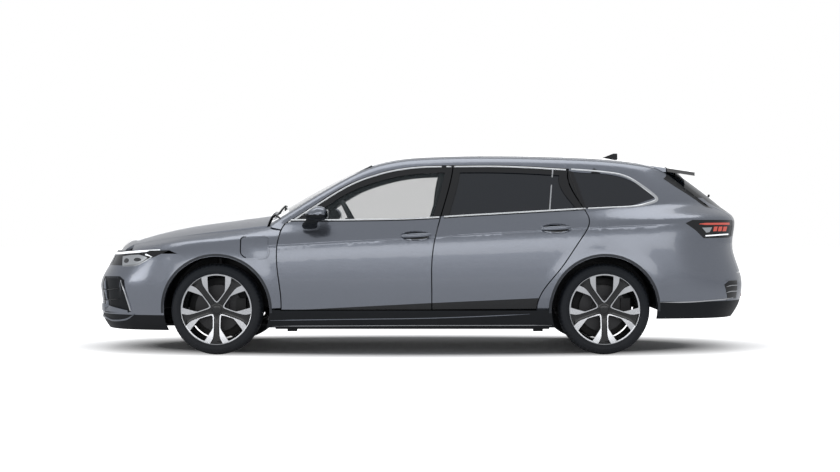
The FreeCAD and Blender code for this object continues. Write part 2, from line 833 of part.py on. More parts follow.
def lid_pins(pin, radius, half_length):
    x, z = pin
    return [Part.makeCylinder(radius, 2 * half_length, Vector(x, y - half_length, z), Vector(0, 1, 0))
            for y in (-LID_PIN_SPREAD, LID_PIN_SPREAD)]


def lid_notches(pin, toward):
    """Room in a lid for its hinge arms, open below and to the edge that the lid turns about."""
    x, z = pin
    low, high = (x - 12, x + 200) if toward > 0 else (x - 200, x + 12)
    return [wall_box(low, high, y - 15, y + 15, z - 100, z + 6.5) for y in (-LID_PIN_SPREAD, LID_PIN_SPREAD)]


def make_lid_hinges():
    """Arms from the firewall and from the roof's rear edge, with the pins that the lids turn on."""
    arms = []
    x, z = HOOD_PIN
    wall_top = 890
    for y, pin in zip((-LID_PIN_SPREAD, LID_PIN_SPREAD), lid_pins(HOOD_PIN, LID_PIN_RADIUS, 30)):
        upright = wall_box(x - 5, x + 5, y - 9, y + 9, wall_top - 40, z)
        foot = wall_box(x - 5, -1088, y - 9, y + 9, wall_top - 40, wall_top - 20)
        arms.append(upright.fuse([foot, pin]))
    x, z = TAILGATE_PIN
    for y, pin in zip((-LID_PIN_SPREAD, LID_PIN_SPREAD), lid_pins(TAILGATE_PIN, LID_PIN_RADIUS, 30)):
        upright = wall_box(x - 5, x + 5, y - 9, y + 9, z - 70, z)
        reach = wall_box(x - 80, x + 5, y - 9, y + 9, z - 70, z - 54)
        hanger = wall_box(x - 80, x - 60, y - 9, y + 9, z - 70, z + 20)
        arms.append(solids_of(upright.fuse([reach, hanger, pin]).cut(pieces["roof_panel"].Shape)))
    add_piece("lid_hinges", Part.makeCompound(arms))


def make_top_panels():
    hood_xs = spread(HOOD_EDGE - 10, HOOD_REAR + 30, 34)
    across = spread(-830, 830, 35)
    thick = size("hood_thickness")
    hood = top_slab(hood_height, hood_xs, across, 0, thick).common(hood_prism(0))
    hood = hood.cut(lid_notches(HOOD_PIN, 1)).cut(lid_pins(HOOD_PIN, LID_PIN_RADIUS + size("running_gap"), 36))
    add_piece("hood", solids_of(hood))

    screen_xs = spread(COWL - 20, HEADER + 80, 26)
    screen = top_slab(screen_height, screen_xs, spread(-780, 780, 25), 0, 1.4 * size("glass_thickness"))
    add_piece("windscreen", solids_of(screen.common(screen_prism(0))))

    half_roof = size("roof_half_width")
    roof = top_slab(roof_height, spread(HEADER - 60, TAILGATE_FRONT + 40, 30), spread(-600, 600, 15), 0,
                    size("panel_thickness"))
    outline = wall_box(-3000, TAILGATE_FRONT - size("lid_gap"), -half_roof, half_roof, 900, 2000)
    add_piece("roof_panel", solids_of(roof.common(outline).cut(screen_prism(0))))

    cowl = top_slab(lambda x, y: min(hood_height(x, y), screen_height(x, y)) - 16, spread(HOOD_REAR + 12, -900, 14),
                    spread(-760, 760, 15), 0, 14)
    add_piece("cowl", solids_of(cowl.cut(screen_prism(0)).cut(pieces["roof_rails"].Shape)))


def make_front_end():
    angles = spread(104, 256, 61)
    gap = size("lid_gap")
    bumper = plan_slab(-1300, angles, spread(size("ground_clearance") + 15, 742, 28), 0, size("panel_thickness"))
    hood_space = hood_prism(gap).common(wall_box(-3000, 0, -900, 900, 600, 2000))
    lamp_cut = both_sides(side_prism(LAMP_OUTLINE)).common(
        Part.makeCompound([wall_box(-3000, 0, -1000, -545, 0, 2000), wall_box(-3000, 0, 545, 1000, 0, 2000)]))
    seam = both_sides(side_prism(FRONT_SEAM))
    middle = wall_box(-3000, -2200, -545, 545, 100, 745)
    bumper = bumper.common(seam.fuse(middle)).cut(hood_space).cut(lamp_cut)
    for side in (-1, 1):
        bumper = bumper.cut(wheel_cylinder(FRONT_AXLE, size("arch_radius"), side * 300, side * (HALF_WIDTH + 60)))
    grille_hole = wall_box(-3000, -2200, -390, 390, 520, 690)
    intake_hole = wall_box(-3000, -2200, -520, 520, 265, 400)
    corner_holes = both_sides(wall_box(-3000, -2150, -800, -640, 330, 560))
    bumper = bumper.cut(grille_hole).cut(intake_hole).cut(corner_holes)
    add_piece("front_bumper", solids_of(bumper))

    lamps = plan_slab(-1300, spread(104, 180, 30), spread(630, 790, 8), 0, 60)
    lamps = lamps.common(lamp_cut).cut(hood_prism(gap))
    add_piece("headlamps", both_sides(solids_of(lamps)))

    slats = []
    backing = plan_slab(-1300, spread(150, 210, 25), spread(500, 710, 10), 12, 18)
    for i in range(15):
        y = -364 + 52 * i
        slats.append(backing.common(wall_box(-3000, -2200, y - 7, y + 7, 520, 690)))
    lower = plan_slab(-1300, spread(150, 210, 25), spread(250, 420, 8), 14, 14)
    for z in (292, 332, 372):
        slats.append(lower.common(wall_box(-3000, -2200, -520, 520, z - 6, z + 6)))
    add_piece("front_grille", Part.makeCompound([solid for slat in slats for solid in slat.Solids]))


def make_rear_end():
    gap = size("lid_gap")
    lid = tailgate_prism(gap)
    bumper = plan_slab(1500, spread(-88, 88, 75), spread(265, 875, 30), 0, size("panel_thickness"))
    left_seam = side_prism(REAR_SEAM)
    bumper = bumper.common(left_seam.fuse(mirrored(left_seam))).cut(lid)
    for side in (-1, 1):
        bumper = bumper.cut(wheel_cylinder(REAR_AXLE, size("arch_radius"), side * 300, side * (HALF_WIDTH + 60)))
    add_piece("rear_bumper", solids_of(bumper))

    lamp = plan_slab(1500, spread(10, 70, 24), spread(840, 1010, 8), 0, 50)
    lamp = lamp.common(side_prism(TAIL_LAMP_OUTLINE)).cut(lid)
    add_piece("tail_lamps", both_sides(solids_of(lamp)))

    panel = plan_slab(1500, spread(-62, 62, 51), spread(TAILGATE_BOTTOM - 20, 1392, 34), 0, size("panel_thickness"))
    panel = panel.common(tailgate_prism(0))
    window = rear_window_prism(0)
    lamp_bar = wall_box(1500, 3000, -1000, 1000, 866, 986).common(
        Part.makeCompound([wall_box(1500, 3000, -1000, -400, 0, 2000), wall_box(1500, 3000, 400, 1000, 0, 2000)]))
    spoiler = top_slab(roof_height, spread(TAILGATE_FRONT, ROOF_REAR + 118, 10), spread(-552, 552, 15), 0,
                       SPOILER_THICKNESS)
    gate = panel.cut(window).cut(lamp_bar).fuse(spoiler).cut(lid_notches(TAILGATE_PIN, -1))
    gate = gate.cut(lid_pins(TAILGATE_PIN, LID_PIN_RADIUS + size("running_gap"), 36)).cut(plate_space())
    add_piece("tailgate", solids_of(gate))
    lamps = plan_slab(1500, spread(-62, 62, 51), spread(840, 1010, 8), 0, 24)
    lamps = lamps.common(tailgate_prism(0)).common(lamp_bar)
    add_piece("tailgate_lamps", solids_of(lamps))
    pane = plan_slab(1500, spread(-62, 62, 51), spread(1030, 1380, 14), 2, size("glass_thickness"))
    add_piece("rear_window", solids_of(pane.common(window)))


def plate_space():
    """The flat recess for the rear plate and the two holes of its screws."""
    half_width = size("plate_recess_width") / 2
    half_height = size("plate_recess_height") / 2
    height = size("plate_height")
    space = wall_box(REAR - size("plate_seat_inset"), REAR + 100, -half_width, half_width, height - half_height,
                     height + half_height)
    for side in (-1, 1):
        start = Vector(REAR - 200, side * size("plate_hole_spacing") / 2, height)
        space = space.fuse(Part.makeCylinder(size("plate_hole_radius"), 300, start, Vector(1, 0, 0)))
    return space


def rear_window_prism(grow):
    points = [(-560 - grow, 1050 - grow), (-518 - grow, 1345 + grow), (518 + grow, 1345 + grow),
              (560 + grow, 1050 - grow)]
    face = polygon(points, lambda y, z: Vector(1500, y, z))
    return face.extrude(Vector(1500, 0, 0))


make_doors()
make_pillars()
make_side_frames()
make_quarter_windows()
make_flaps()
make_wheel_liners()
make_top_panels()
make_lid_hinges()
make_front_end()
make_rear_end()

# Parametric pieces, bound to the sheet


def bound(feature, bindings):
    """Bind a feature's properties to expressions on the sheet."""
    for name, expression in bindings.items():
        feature.setExpression(name, expression)
    return feature


def place(feature, x, y, z, turn=0, axis=(0, 0, 1)):
    """Bind a feature's place to expressions, after turning it about an axis by plain degrees."""
    feature.Placement = Placement(Vector(0, 0, 0), Rotation(Vector(*axis), turn))
    return bound(feature, {"Placement.Base.x": x, "Placement.Base.y": y, "Placement.Base.z": z})


def keep(name, feature):
    feature.Label = name
    pieces[name] = feature
    return feature


def box(name, length, width, height, x, y, z):
    """A box whose length, width, height and lowest corner are expressions."""
    feature = doc.addObject("Part::Box", name)
    bound(feature, {"Length": length, "Width": width, "Height": height})
    return place(feature, x, y, z)


def cylinder(name, radius, height, x, y, z, turn=0, axis=(0, 0, 1)):
    feature = doc.addObject("Part::Cylinder", name)
    bound(feature, {"Radius": radius, "Height": height})
    return place(feature, x, y, z, turn, axis)


def joined(name, features):
    feature = doc.addObject("Part::MultiFuse", name)
    feature.Shapes = features
    return feature


def cut_from(name, base, tool):
    feature = doc.addObject("Part::Cut", name)
    feature.Base = base
    feature.Tool = tool
    return feature


def sketch_on(body, role, name):
    sketch = body.newObject("Sketcher::SketchObject", name)
    plane = next(item for item in body.Origin.OriginFeatures if item.Role == role)
    sketch.AttachmentSupport = [(plane, "")]
    sketch.MapMode = "FlatFace"
    return sketch


def closed_profile(sketch, corners):
    """A closed straight-sided profile whose corners are pairs of expressions."""
    count = len(corners)
    for i in range(count):
        a = 2 * math.pi * i / count
        b = 2 * math.pi * (i + 1) / count
        first = Vector(100 + 50 * math.cos(a), 50 * math.sin(a), 0)
        second = Vector(100 + 50 * math.cos(b), 50 * math.sin(b), 0)
        sketch.addGeometry(Part.LineSegment(first, second), False)
    for i in range(count):
        sketch.addConstraint(Sketcher.Constraint("Coincident", i, 2, (i + 1) % count, 1))
    for i, (across, up) in enumerate(corners):
        for kind, expression in (("DistanceX", across), ("DistanceY", up)):
            index = sketch.addConstraint(Sketcher.Constraint(kind, -1, 1, i, 1, 1.0))
            sketch.setExpression(f"Constraints[{index}]", expression)


def revolved(name, corners):
    """A body turned about the wheel's own axle, Y, from a profile of (radius, along the axle)."""
    body = doc.addObject("PartDesign::Body", name)
    sketch = sketch_on(body, "XY_Plane", name + "_profile")
    closed_profile(sketch, corners)
    turn = body.newObject("PartDesign::Revolution", name + "_turn")
    turn.Profile = sketch
    turn.ReferenceAxis = (sketch, ["V_Axis"])
    turn.Angle = 360
    return body


def wheel_place(feature, end, side):
    """Outer faces look to the left at angle 0, so the right wheels are turned half round."""
    x = "sizes.front_overhang - sizes.overall_length / 2"
    if end == "rear":
        x += " + sizes.wheelbase"
    sign = "-" if side == "left" else ""
    turn = 0 if side == "left" else 180
    return place(feature, x, f"{sign}sizes.{end}_track / 2", "sizes.tyre_diameter / 2", turn)


def make_tyre(name):
    half = "sizes.tyre_width / 2"
    outer = "sizes.tyre_diameter / 2"
    seat = "sizes.rim_diameter / 2"
    flange = "sizes.rim_width / 2"
    return revolved(name, [
        (f"{seat} - 4", f"-({flange} - 17)"),
        (f"{seat} + 10 + sizes.running_gap", f"-({flange} - 9)"),
        (f"{seat} + 10.6", f"-({flange} + 2)"),
        (f"{outer} - 46", f"-{half}"),
        (f"{outer} - 12", f"-{half} + 9"),
        (outer, f"-{half} + 32"),
        (outer, f"{half} - 32"),
        (f"{outer} - 12", f"{half} - 9"),
        (f"{outer} - 46", half),
        (f"{seat} + 10.6", f"{flange} + 2"),
        (f"{seat} + 10 + sizes.running_gap", f"{flange} - 9"),
        (f"{seat} - 4", f"{flange} - 17"),
    ])


def make_rim(name):
    """Barrel and dished face, with five windows between double spokes."""
    half = "sizes.rim_width / 2"
    seat = "sizes.rim_diameter / 2"
    hub = "sizes.hub_cap_diameter / 2"
    body = revolved(name, [
        ("0", f"-{half} + 44"),
        (hub, f"-{half} + 34"),
        (f"{seat} - 22", f"-{half} + 6"),
        (f"{seat} + 10", f"-{half}"),
        (f"{seat} + 10", f"-{half} + 7.6"),
        (f"{seat} - 4.4", f"-{half} + 15.6"),
        (f"{seat} - 10", f"{half} - 14"),
        (f"{seat} + 6", f"{half} - 6"),
        (f"{seat} + 6", half),
        (f"{seat} - 20", half),
        (f"{seat} - 20", f"-{half} + 40"),
        (f"{hub} + 46", f"-{half} + 74"),
        (f"{hub} + 40", f"-{half} + 110"),
        ("0", f"-{half} + 110"),
    ])
    window = sketch_on(body, "XZ_Plane", name + "_window")
    reach = "(sizes.rim_diameter / 2 - 24)"
    closed_profile(window, [
        ("0", "58"),
        ("60", f"{reach} * 0.58"),
        ("62", f"{reach} * 0.955"),
        ("24", f"{reach} * 0.992"),
        ("-24", f"{reach} * 0.992"),
        ("-62", f"{reach} * 0.955"),
        ("-60", f"{reach} * 0.58"),
    ])
    doc.recompute()
    pocket = body.newObject("PartDesign::Pocket", name + "_window_cut")
    pocket.Profile = window
    pocket.Type = 1
    pocket.Midplane = True
    pattern = body.newObject("PartDesign::PolarPattern", name + "_windows")
    pattern.Originals = [pocket]
    pattern.Axis = (window, ["N_Axis"])
    pattern.Angle = 360
    pattern.Occurrences = int(size("spoke_count"))
    body.Tip = pattern
    return body


def make_disc(name):
    """Brake disc with its hat, against the rim, and the hub sleeve that runs on the stub axle."""
    radius = "sizes.disc_diameter / 2"
    bore = "sizes.stub_radius + sizes.running_gap"
    return revolved(name, [
        ("0", "2 + sizes.running_gap"),
        ("82", "2 + sizes.running_gap"),
        ("82", "38"),
        (radius, "38"),
        (radius, "38 + sizes.disc_thickness"),
        ("74", "38 + sizes.disc_thickness"),
        ("74", "12"),
        ("sizes.stub_radius + 15", "12"),
        ("sizes.stub_radius + 15", "60"),
        (bore, "60"),
        (bore, "12"),
        ("0", "12"),
    ])


def make_wheels():
    for end in ("front", "rear"):
        for side in ("left", "right"):
            for kind, make in (("tyre", make_tyre), ("rim", make_rim), ("disc", make_disc)):
                name = f"{kind}_{end}_{side}"
                keep(name, wheel_place(make(name), end, side))


AXLE_X = {"front": "(sizes.front_overhang - sizes.overall_length / 2)",
          "rear": "(sizes.front_overhang - sizes.overall_length / 2 + sizes.wheelbase)"}
AXLE_Z = "sizes.tyre_diameter / 2"


def mirror_of(name, source):
    feature = doc.addObject("Part::Mirroring", name)
    feature.Source = source
    feature.Base = Vector(0, 0, 0)
    feature.Normal = Vector(0, 1, 0)
    return feature


def make_caliper(name, axle_x, centre_y):
    """A caliper that straddles the disc behind the axle, its middle 38 + half a disc inboard."""
    shell = box(name + "_shell", "70", "sizes.disc_thickness + 44", "150", f"{axle_x} + 132", f"{centre_y} + 16",
                f"{AXLE_Z} - 75")
    slot = box(name + "_slot", "sizes.disc_diameter / 2 - 125", "sizes.disc_thickness + 12", "160",
               f"{axle_x} + 131", f"{centre_y} + 32", f"{AXLE_Z} - 80")
    return cut_from(name, shell, slot)


def make_stub(name, axle_x, centre_y):
    return cylinder(name, "sizes.stub_radius", "96", axle_x, f"{centre_y} + 110", AXLE_Z, 90, (1, 0, 0))


def make_knuckles():
    """Steering knuckles with stub axle, upright, damper strut and brake caliper."""
    centre = "-sizes.front_track / 2"
    axle_x = AXLE_X["front"]
    pin_y = f"{centre} + sizes.kingpin_inset"
    parts = [
        make_stub("front_stub", axle_x, centre),
        box("front_upright", "70", "62", "300", f"{axle_x} - 35", f"{pin_y} - 16", f"{AXLE_Z} - 120"),
        box("front_strut_arm", "50", "70", "46", f"{axle_x} - 25", f"{pin_y} + 30", f"{AXLE_Z} + 134"),
        cylinder("front_strut", "24", "230", axle_x, f"{centre} + 150", f"{AXLE_Z} + 134"),
        box("front_caliper_arm", "180", "18", "60", axle_x, f"{centre} + 78", f"{AXLE_Z} - 30"),
        make_caliper("front_caliper", axle_x, centre),
    ]
    bore = cylinder("kingpin_bore", "sizes.kingpin_radius + sizes.running_gap", "62", axle_x, pin_y,
                    f"{AXLE_Z} - 121")
    left = keep("knuckle_left", cut_from("knuckle_left", joined("knuckle_solid", parts), bore))
    keep("knuckle_right", mirror_of("knuckle_right", left))


def make_suspension():
    """The subframes with their arms, which carry the knuckles and the rear stub axles."""
    axle_x = AXLE_X["front"]
    frame = box("front_crossbeam", "300", "1000", "60", f"{axle_x} - 120", "-500", "sizes.sill_bottom_height")
    reach = "sizes.front_track / 2 - sizes.kingpin_inset"
    arm_z = f"{AXLE_Z} - 120 - 22 - sizes.running_gap"
    left_arm = joined("front_arm_left", [
        box("front_arm", "32", f"{reach} - 445", "22", f"{axle_x} - 16", f"-({reach}) - 11", arm_z),
        cylinder("kingpin", "sizes.kingpin_radius", "80", axle_x, f"-({reach})", arm_z),
    ])
    right_arm = mirror_of("front_arm_right", left_arm)
    keep("front_suspension", joined("front_suspension", [frame, left_arm, right_arm]))
    axle_x = AXLE_X["rear"]
    centre = "-sizes.rear_track / 2"
    left = joined("rear_hub_left", [
        make_stub("rear_stub", axle_x, centre),
        box("rear_upright", "120", "46", "200", f"{axle_x} - 60", f"{centre} + 100", f"{AXLE_Z} - 100"),
        box("rear_caliper_arm", "180", "18", "60", axle_x, f"{centre} + 78", f"{AXLE_Z} - 30"),
        make_caliper("rear_caliper", axle_x, centre),
    ])
    right = mirror_of("rear_hub_right", left)
    beam = box("rear_beam", "150", "1300", "70", f"{axle_x} - 75", "-650", f"{AXLE_Z} - 100")
    posts = [box(f"rear_post_{i}", "60", "60",
                 f"sizes.ground_clearance + 340 - sizes.running_gap - {AXLE_Z} + 30.0", f"{axle_x} - 30", y,
                 f"{AXLE_Z} - 30") for i, y in enumerate(("-430", "370"))]
    keep("rear_suspension", joined("rear_suspension", [beam, left, right] + posts))


def make_underbody():
    low = "sizes.ground_clearance + 20"
    thick = "sizes.sill_bottom_height - sizes.running_gap - sizes.ground_clearance - 20"
    floor = box("floor_main", "2020", "1600", thick, "-1080", "-800", low)
    front = box("floor_front", "1240", "900", thick, "-2300", "-450", low)
    riser = box("floor_riser", "26", "960", "344", "914", "-480", low)
    boot = box("floor_boot", "1400", "960", "24", "914", "-480", "sizes.ground_clearance + 340")
    pads = [box(f"jack_pad_{row}_{side}", "sizes.jack_pad_length", "sizes.jack_pad_width", "21",
                f"{x} - sizes.jack_pad_length / 2", f"{y} - sizes.jack_pad_width / 2", "sizes.ground_clearance")
            for row, x in (("front", "-960"), ("rear", "860")) for side, y in (("left", "-735"), ("right", "735"))]
    keep("floor_pan", joined("floor_pan", [floor, front, riser, boot] + pads))
    keep("firewall", box("firewall", "24", "1380", "690", "-1088", "-690", "sizes.sill_bottom_height"))
    keep("engine_block", box("engine_block", "540", "740", "500", f"{AXLE_X['front']} - 330", "-370",
                             "sizes.sill_bottom_height + 60 + sizes.running_gap"))


def make_seat(name, x, y, width, base_depth, back_height, lean):
    """Cushion and leaning back of one seat, with its front lower corner at x and y."""
    base = box(name + "_base", str(base_depth), str(width), "170", str(x), str(y), "280")
    rails = box(name + "_rails", str(base_depth - 100), str(width - 120), "81 - sizes.running_gap", str(x + 50),
                str(y + 60), "sizes.sill_bottom_height + sizes.running_gap")
    back = box(name + "_back", "130", str(width), str(back_height), "0", "0", "0")
    back.setExpression("Placement.Base.x", None)
    back.setExpression("Placement.Base.y", None)
    back.setExpression("Placement.Base.z", None)
    back.Placement = Placement(Vector(x + base_depth - 40, y, 400), Rotation(Vector(0, 1, 0), lean))
    return [base, rails, back]


def make_cabin():
    dash = box("dashboard_top", "300", "1330", "200", "-1064 + sizes.running_gap", "-665", "750")
    column = cylinder("steering_column", "32", "300", "0", "0", "0")
    for axis in "xyz":
        column.setExpression(f"Placement.Base.{axis}", None)
    column.Placement = STEERING.multiply(Placement(Vector(0, 0, -345), Rotation()))
    keep("dashboard", joined("dashboard", [dash, column]))
    seats = []
    for side, name in ((-1, "driver_seat"), (1, "passenger_seat")):
        y = side * 370 - 250
        parts = make_seat(name, -420, y, 500, 510, 640, 20)
        head = box(name + "_head", "90", "260", "200", "290", str(y + 120), "1010")
        posts = [box(f"{name}_post_{i}", "12", "12", "70", "329", str(y + across), "945")
                 for i, across in enumerate((185, 303))]
        seats.append(joined(name, parts + [head] + posts))
    both = doc.addObject("Part::Compound", "front_seats")
    both.Links = seats
    keep("front_seats", both)
    keep("rear_seat", joined("rear_seat", make_seat("bench", 350, -620, 1240, 420, 600, 18)))


# Where the steering wheel's own frame lies: its axis points at the driver
STEERING = Placement(Vector(-520, -370, 965), Rotation(Vector(0, 1, 0), 62))


def make_steering_wheel():
    ring = doc.addObject("Part::Torus", "steering_ring")
    bound(ring, {"Radius1": "185", "Radius2": "15"})
    hub = cylinder("steering_hub", "62", "44", "0", "0", "-44.7")
    bar = box("steering_bar", "34", "360", "18", "-17", "-180", "-20")
    spoke = box("steering_spoke", "180", "30", "18", "0", "-15", "-20")
    wheel = joined("steering_wheel", [ring, hub, bar, spoke])
    wheel.Placement = STEERING
    keep("steering_wheel", wheel)


def make_mirrors():
    shell = doc.addObject("Part::Ellipsoid", "mirror_shell")
    bound(shell, {"Radius1": "62", "Radius2": "100", "Radius3": "96"})
    shell.Placement = Placement(Vector(-770, -972, 1036), Rotation())
    foot = box("mirror_foot", "110", "125", "62", "-870", "-985", "925")
    whole = joined("mirror_whole", [shell, foot])
    beside_door = cut_from("mirror_beside_door", whole, pieces["front_door_left"])
    left = keep("mirror_left", cut_from("mirror_left", beside_door, pieces["front_window_left"]))
    keep("mirror_right", mirror_of("mirror_right", left))


def make_antenna():
    fin = doc.addObject("Part::Wedge", "antenna_fin")
    bound(fin, {
        "Xmin": "0", "Xmax": "sizes.antenna_length", "X2min": "sizes.antenna_length - sizes.antenna_top_length",
        "X2max": "sizes.antenna_length", "Ymin": "0", "Ymax": "60", "Zmin": "-sizes.antenna_width / 2",
        "Zmax": "sizes.antenna_width / 2", "Z2min": "-sizes.antenna_top_width / 2",
        "Z2max": "sizes.antenna_top_width / 2",
    })
    place(fin, "1359", "0", "sizes.antenna_top - 60", 90, (1, 0, 0))
    keep("antenna", cut_from("antenna", fin, pieces["roof_panel"]))


make_wheels()
make_knuckles()
make_suspension()
make_underbody()
make_cabin()
make_steering_wheel()
make_mirrors()
make_antenna()
doc.recompute()

# Every object must have built cleanly before anything is written

os.makedirs("parts", exist_ok=True)
for item in doc.Objects:
    if "Invalid" in item.State or "Error" in item.State:
        raise RuntimeError(f"{item.Label} did not build: {item.State}")
for name, piece in pieces.items():
    if piece.Shape.isNull() or not piece.Shape.isValid():
        raise RuntimeError(f"{name} has no valid shape")
for name, piece in pieces.items():
    piece.Shape.exportStep(f"parts/{name}.step")
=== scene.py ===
import math
import json

import bpy
import bmesh
from mathutils import Vector, Matrix
from mathutils.bvhtree import BVHTree


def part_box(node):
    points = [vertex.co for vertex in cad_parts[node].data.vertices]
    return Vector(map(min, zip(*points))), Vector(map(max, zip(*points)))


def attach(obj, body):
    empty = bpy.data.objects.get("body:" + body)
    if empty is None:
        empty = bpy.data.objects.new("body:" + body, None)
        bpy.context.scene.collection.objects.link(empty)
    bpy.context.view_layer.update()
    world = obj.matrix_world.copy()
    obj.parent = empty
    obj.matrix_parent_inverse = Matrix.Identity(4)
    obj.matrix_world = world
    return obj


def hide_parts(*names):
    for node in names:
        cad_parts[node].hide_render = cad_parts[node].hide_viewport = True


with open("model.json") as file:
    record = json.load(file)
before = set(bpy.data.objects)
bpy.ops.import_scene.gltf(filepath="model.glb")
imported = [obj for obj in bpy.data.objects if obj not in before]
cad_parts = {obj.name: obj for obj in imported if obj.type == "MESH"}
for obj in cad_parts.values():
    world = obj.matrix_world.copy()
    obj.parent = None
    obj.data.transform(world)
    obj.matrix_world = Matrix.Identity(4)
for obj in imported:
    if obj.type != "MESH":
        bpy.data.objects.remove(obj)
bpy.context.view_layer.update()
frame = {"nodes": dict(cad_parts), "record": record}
nodes = frame["nodes"]
record = frame["record"]
slot_of = {part["node"]: part["material_slot"] for part in record["subparts"]}
body_of_node = {name: body for body, names in record["behaviour"]["bodies"].items() for name in names}

# Materials


def shader_group(name, inputs, outputs):
    """A node group with number sockets, and its input and output nodes."""
    group = bpy.data.node_groups.new(name, "ShaderNodeTree")
    for label, default in inputs.items():
        socket = group.interface.new_socket(name=label, in_out="INPUT", socket_type="NodeSocketFloat")
        socket.default_value = default
    for label in outputs:
        group.interface.new_socket(name=label, in_out="OUTPUT", socket_type="NodeSocketFloat")
    entry = group.nodes.new("NodeGroupInput")
    leave = group.nodes.new("NodeGroupOutput")
    return group, entry, leave


def link(tree, source, target):
    """Joins an output socket to an input socket."""
    tree.links.new(source, target)


def noise_in(tree, coordinate, scale, detail):
    """A noise texture on a coordinate."""
    noise = tree.nodes.new("ShaderNodeTexNoise")
    noise.inputs["Scale"].default_value = scale
    noise.inputs["Detail"].default_value = detail
    link(tree, coordinate, noise.inputs["Vector"])
    return noise


def math_in(tree, kind, first, second=None, clamp=False):
    """The result of a Math node, whose inputs are numbers or sockets."""
    step = tree.nodes.new("ShaderNodeMath")
    step.operation = kind
    step.use_clamp = clamp
    for socket, value in zip(step.inputs, (first, second)):
        if value is None:
            continue
        if isinstance(value, (int, float)):
            socket.default_value = value
        else:
            link(tree, value, socket)
    return step.outputs[0]


def ramp_in(tree, value, low, high, start=0.0, end=1.0):
    """value mapped from low..high to start..end, held at the ends."""
    step = tree.nodes.new("ShaderNodeMapRange")
    for label, number in (("From Min", low), ("From Max", high), ("To Min", start), ("To Max", end)):
        step.inputs[label].default_value = number
    link(tree, value, step.inputs["Value"])
    return step.outputs["Result"]


def mix_in(tree, factor, first, second):
    """A colour between two, each a tuple or a socket."""
    mix = tree.nodes.new("ShaderNodeMix")
    mix.data_type = "RGBA"
    link(tree, factor, mix.inputs["Factor"])
    for socket, value in ((mix.inputs["A"], first), (mix.inputs["B"], second)):
        if isinstance(value, tuple):
            socket.default_value = value
        else:
            link(tree, value, socket)
    return mix.outputs["Result"]


def grain_group():
    """Fine surface texture: a height for a bump, and a slow mask that varies colour and gloss."""
    group, entry, leave = shader_group("surface_grain", {"Grain Scale": 900.0, "Patch Scale": 5.0},
                                       ["Height", "Patches"])
    place = group.nodes.new("ShaderNodeTexCoord")
    fine = group.nodes.new("ShaderNodeTexNoise")
    fine.inputs["Detail"].default_value = 3.0
    link(group, place.outputs["Object"], fine.inputs["Vector"])
    link(group, entry.outputs["Grain Scale"], fine.inputs["Scale"])
    slow = group.nodes.new("ShaderNodeTexNoise")
    slow.inputs["Detail"].default_value = 2.0
    link(group, place.outputs["Object"], slow.inputs["Vector"])
    link(group, entry.outputs["Patch Scale"], slow.inputs["Scale"])
    link(group, fine.outputs["Fac"], leave.inputs["Height"])
    link(group, slow.outputs["Fac"], leave.inputs["Patches"])
    return group


def dust_group():
    """Road dust that gathers low on the car."""
    group, entry, leave = shader_group("road_dust", {"Reach": 0.45}, ["Dust"])
    place = group.nodes.new("ShaderNodeTexCoord")
    split = group.nodes.new("ShaderNodeSeparateXYZ")
    link(group, place.outputs["Object"], split.inputs[0])
    low = math_in(group, "DIVIDE", split.outputs["Z"], entry.outputs["Reach"])
    low = math_in(group, "SUBTRACT", 1.0, low, clamp=True)
    patches = noise_in(group, place.outputs["Object"], 7.0, 4.0)
    dust = math_in(group, "MULTIPLY", low, patches.outputs["Fac"], clamp=True)
    link(group, dust, leave.inputs["Dust"])
    return group


GRAIN = grain_group()
DUST = dust_group()


def principled(name, color, roughness, metallic=0.0, **sockets):
    """A material with one Principled shader; further sockets are given by name with _ for a space."""
    material = bpy.data.materials.new(name)
    material.use_nodes = True
    shader = material.node_tree.nodes["Principled BSDF"]
    shader.inputs["Base Color"].default_value = (*color, 1.0)
    shader.inputs["Roughness"].default_value = roughness
    shader.inputs["Metallic"].default_value = metallic
    for label, value in sockets.items():
        shader.inputs[label.replace("_", " ")].default_value = value
    return material


def bump_in(tree, height, strength, distance):
    """Leads a height through a Bump node to the shader's normal."""
    step = tree.nodes.new("ShaderNodeBump")
    step.inputs["Strength"].default_value = strength
    step.inputs["Distance"].default_value = distance
    link(tree, height, step.inputs["Height"])
    link(tree, step.outputs["Normal"], tree.nodes["Principled BSDF"].inputs["Normal"])


def dusted(tree, color, share, dust_color):
    """A colour with a share of road dust over it."""
    dust = tree.nodes.new("ShaderNodeGroup")
    dust.node_tree = DUST
    return mix_in(tree, math_in(tree, "MULTIPLY", dust.outputs["Dust"], share), color, dust_color)


def add_grain(material, grain_scale, bump, color_shift=0.12, gloss_shift=0.08, dust=0.0, distance=0.0004):
    """Bump, colour and gloss variation at real scale, with a little dust near the road."""
    tree = material.node_tree
    shader = tree.nodes["Principled BSDF"]
    grain = tree.nodes.new("ShaderNodeGroup")
    grain.node_tree = GRAIN
    grain.inputs["Grain Scale"].default_value = grain_scale
    base = tuple(shader.inputs["Base Color"].default_value)
    dark = tuple(channel * (1 - color_shift) for channel in base[:3]) + (1.0,)
    light = tuple(min(channel * (1 + color_shift), 1.0) for channel in base[:3]) + (1.0,)
    color = mix_in(tree, grain.outputs["Patches"], dark, light)
    if dust:
        color = dusted(tree, color, dust, (0.20, 0.18, 0.16, 1.0))
    link(tree, color, shader.inputs["Base Color"])
    rough = shader.inputs["Roughness"].default_value
    link(tree, ramp_in(tree, grain.outputs["Patches"], 0.3, 0.7, rough - gloss_shift / 2,
                       rough + gloss_shift / 2),
         shader.inputs["Roughness"])
    if bump:
        bump_in(tree, grain.outputs["Height"], bump, distance)
    return material


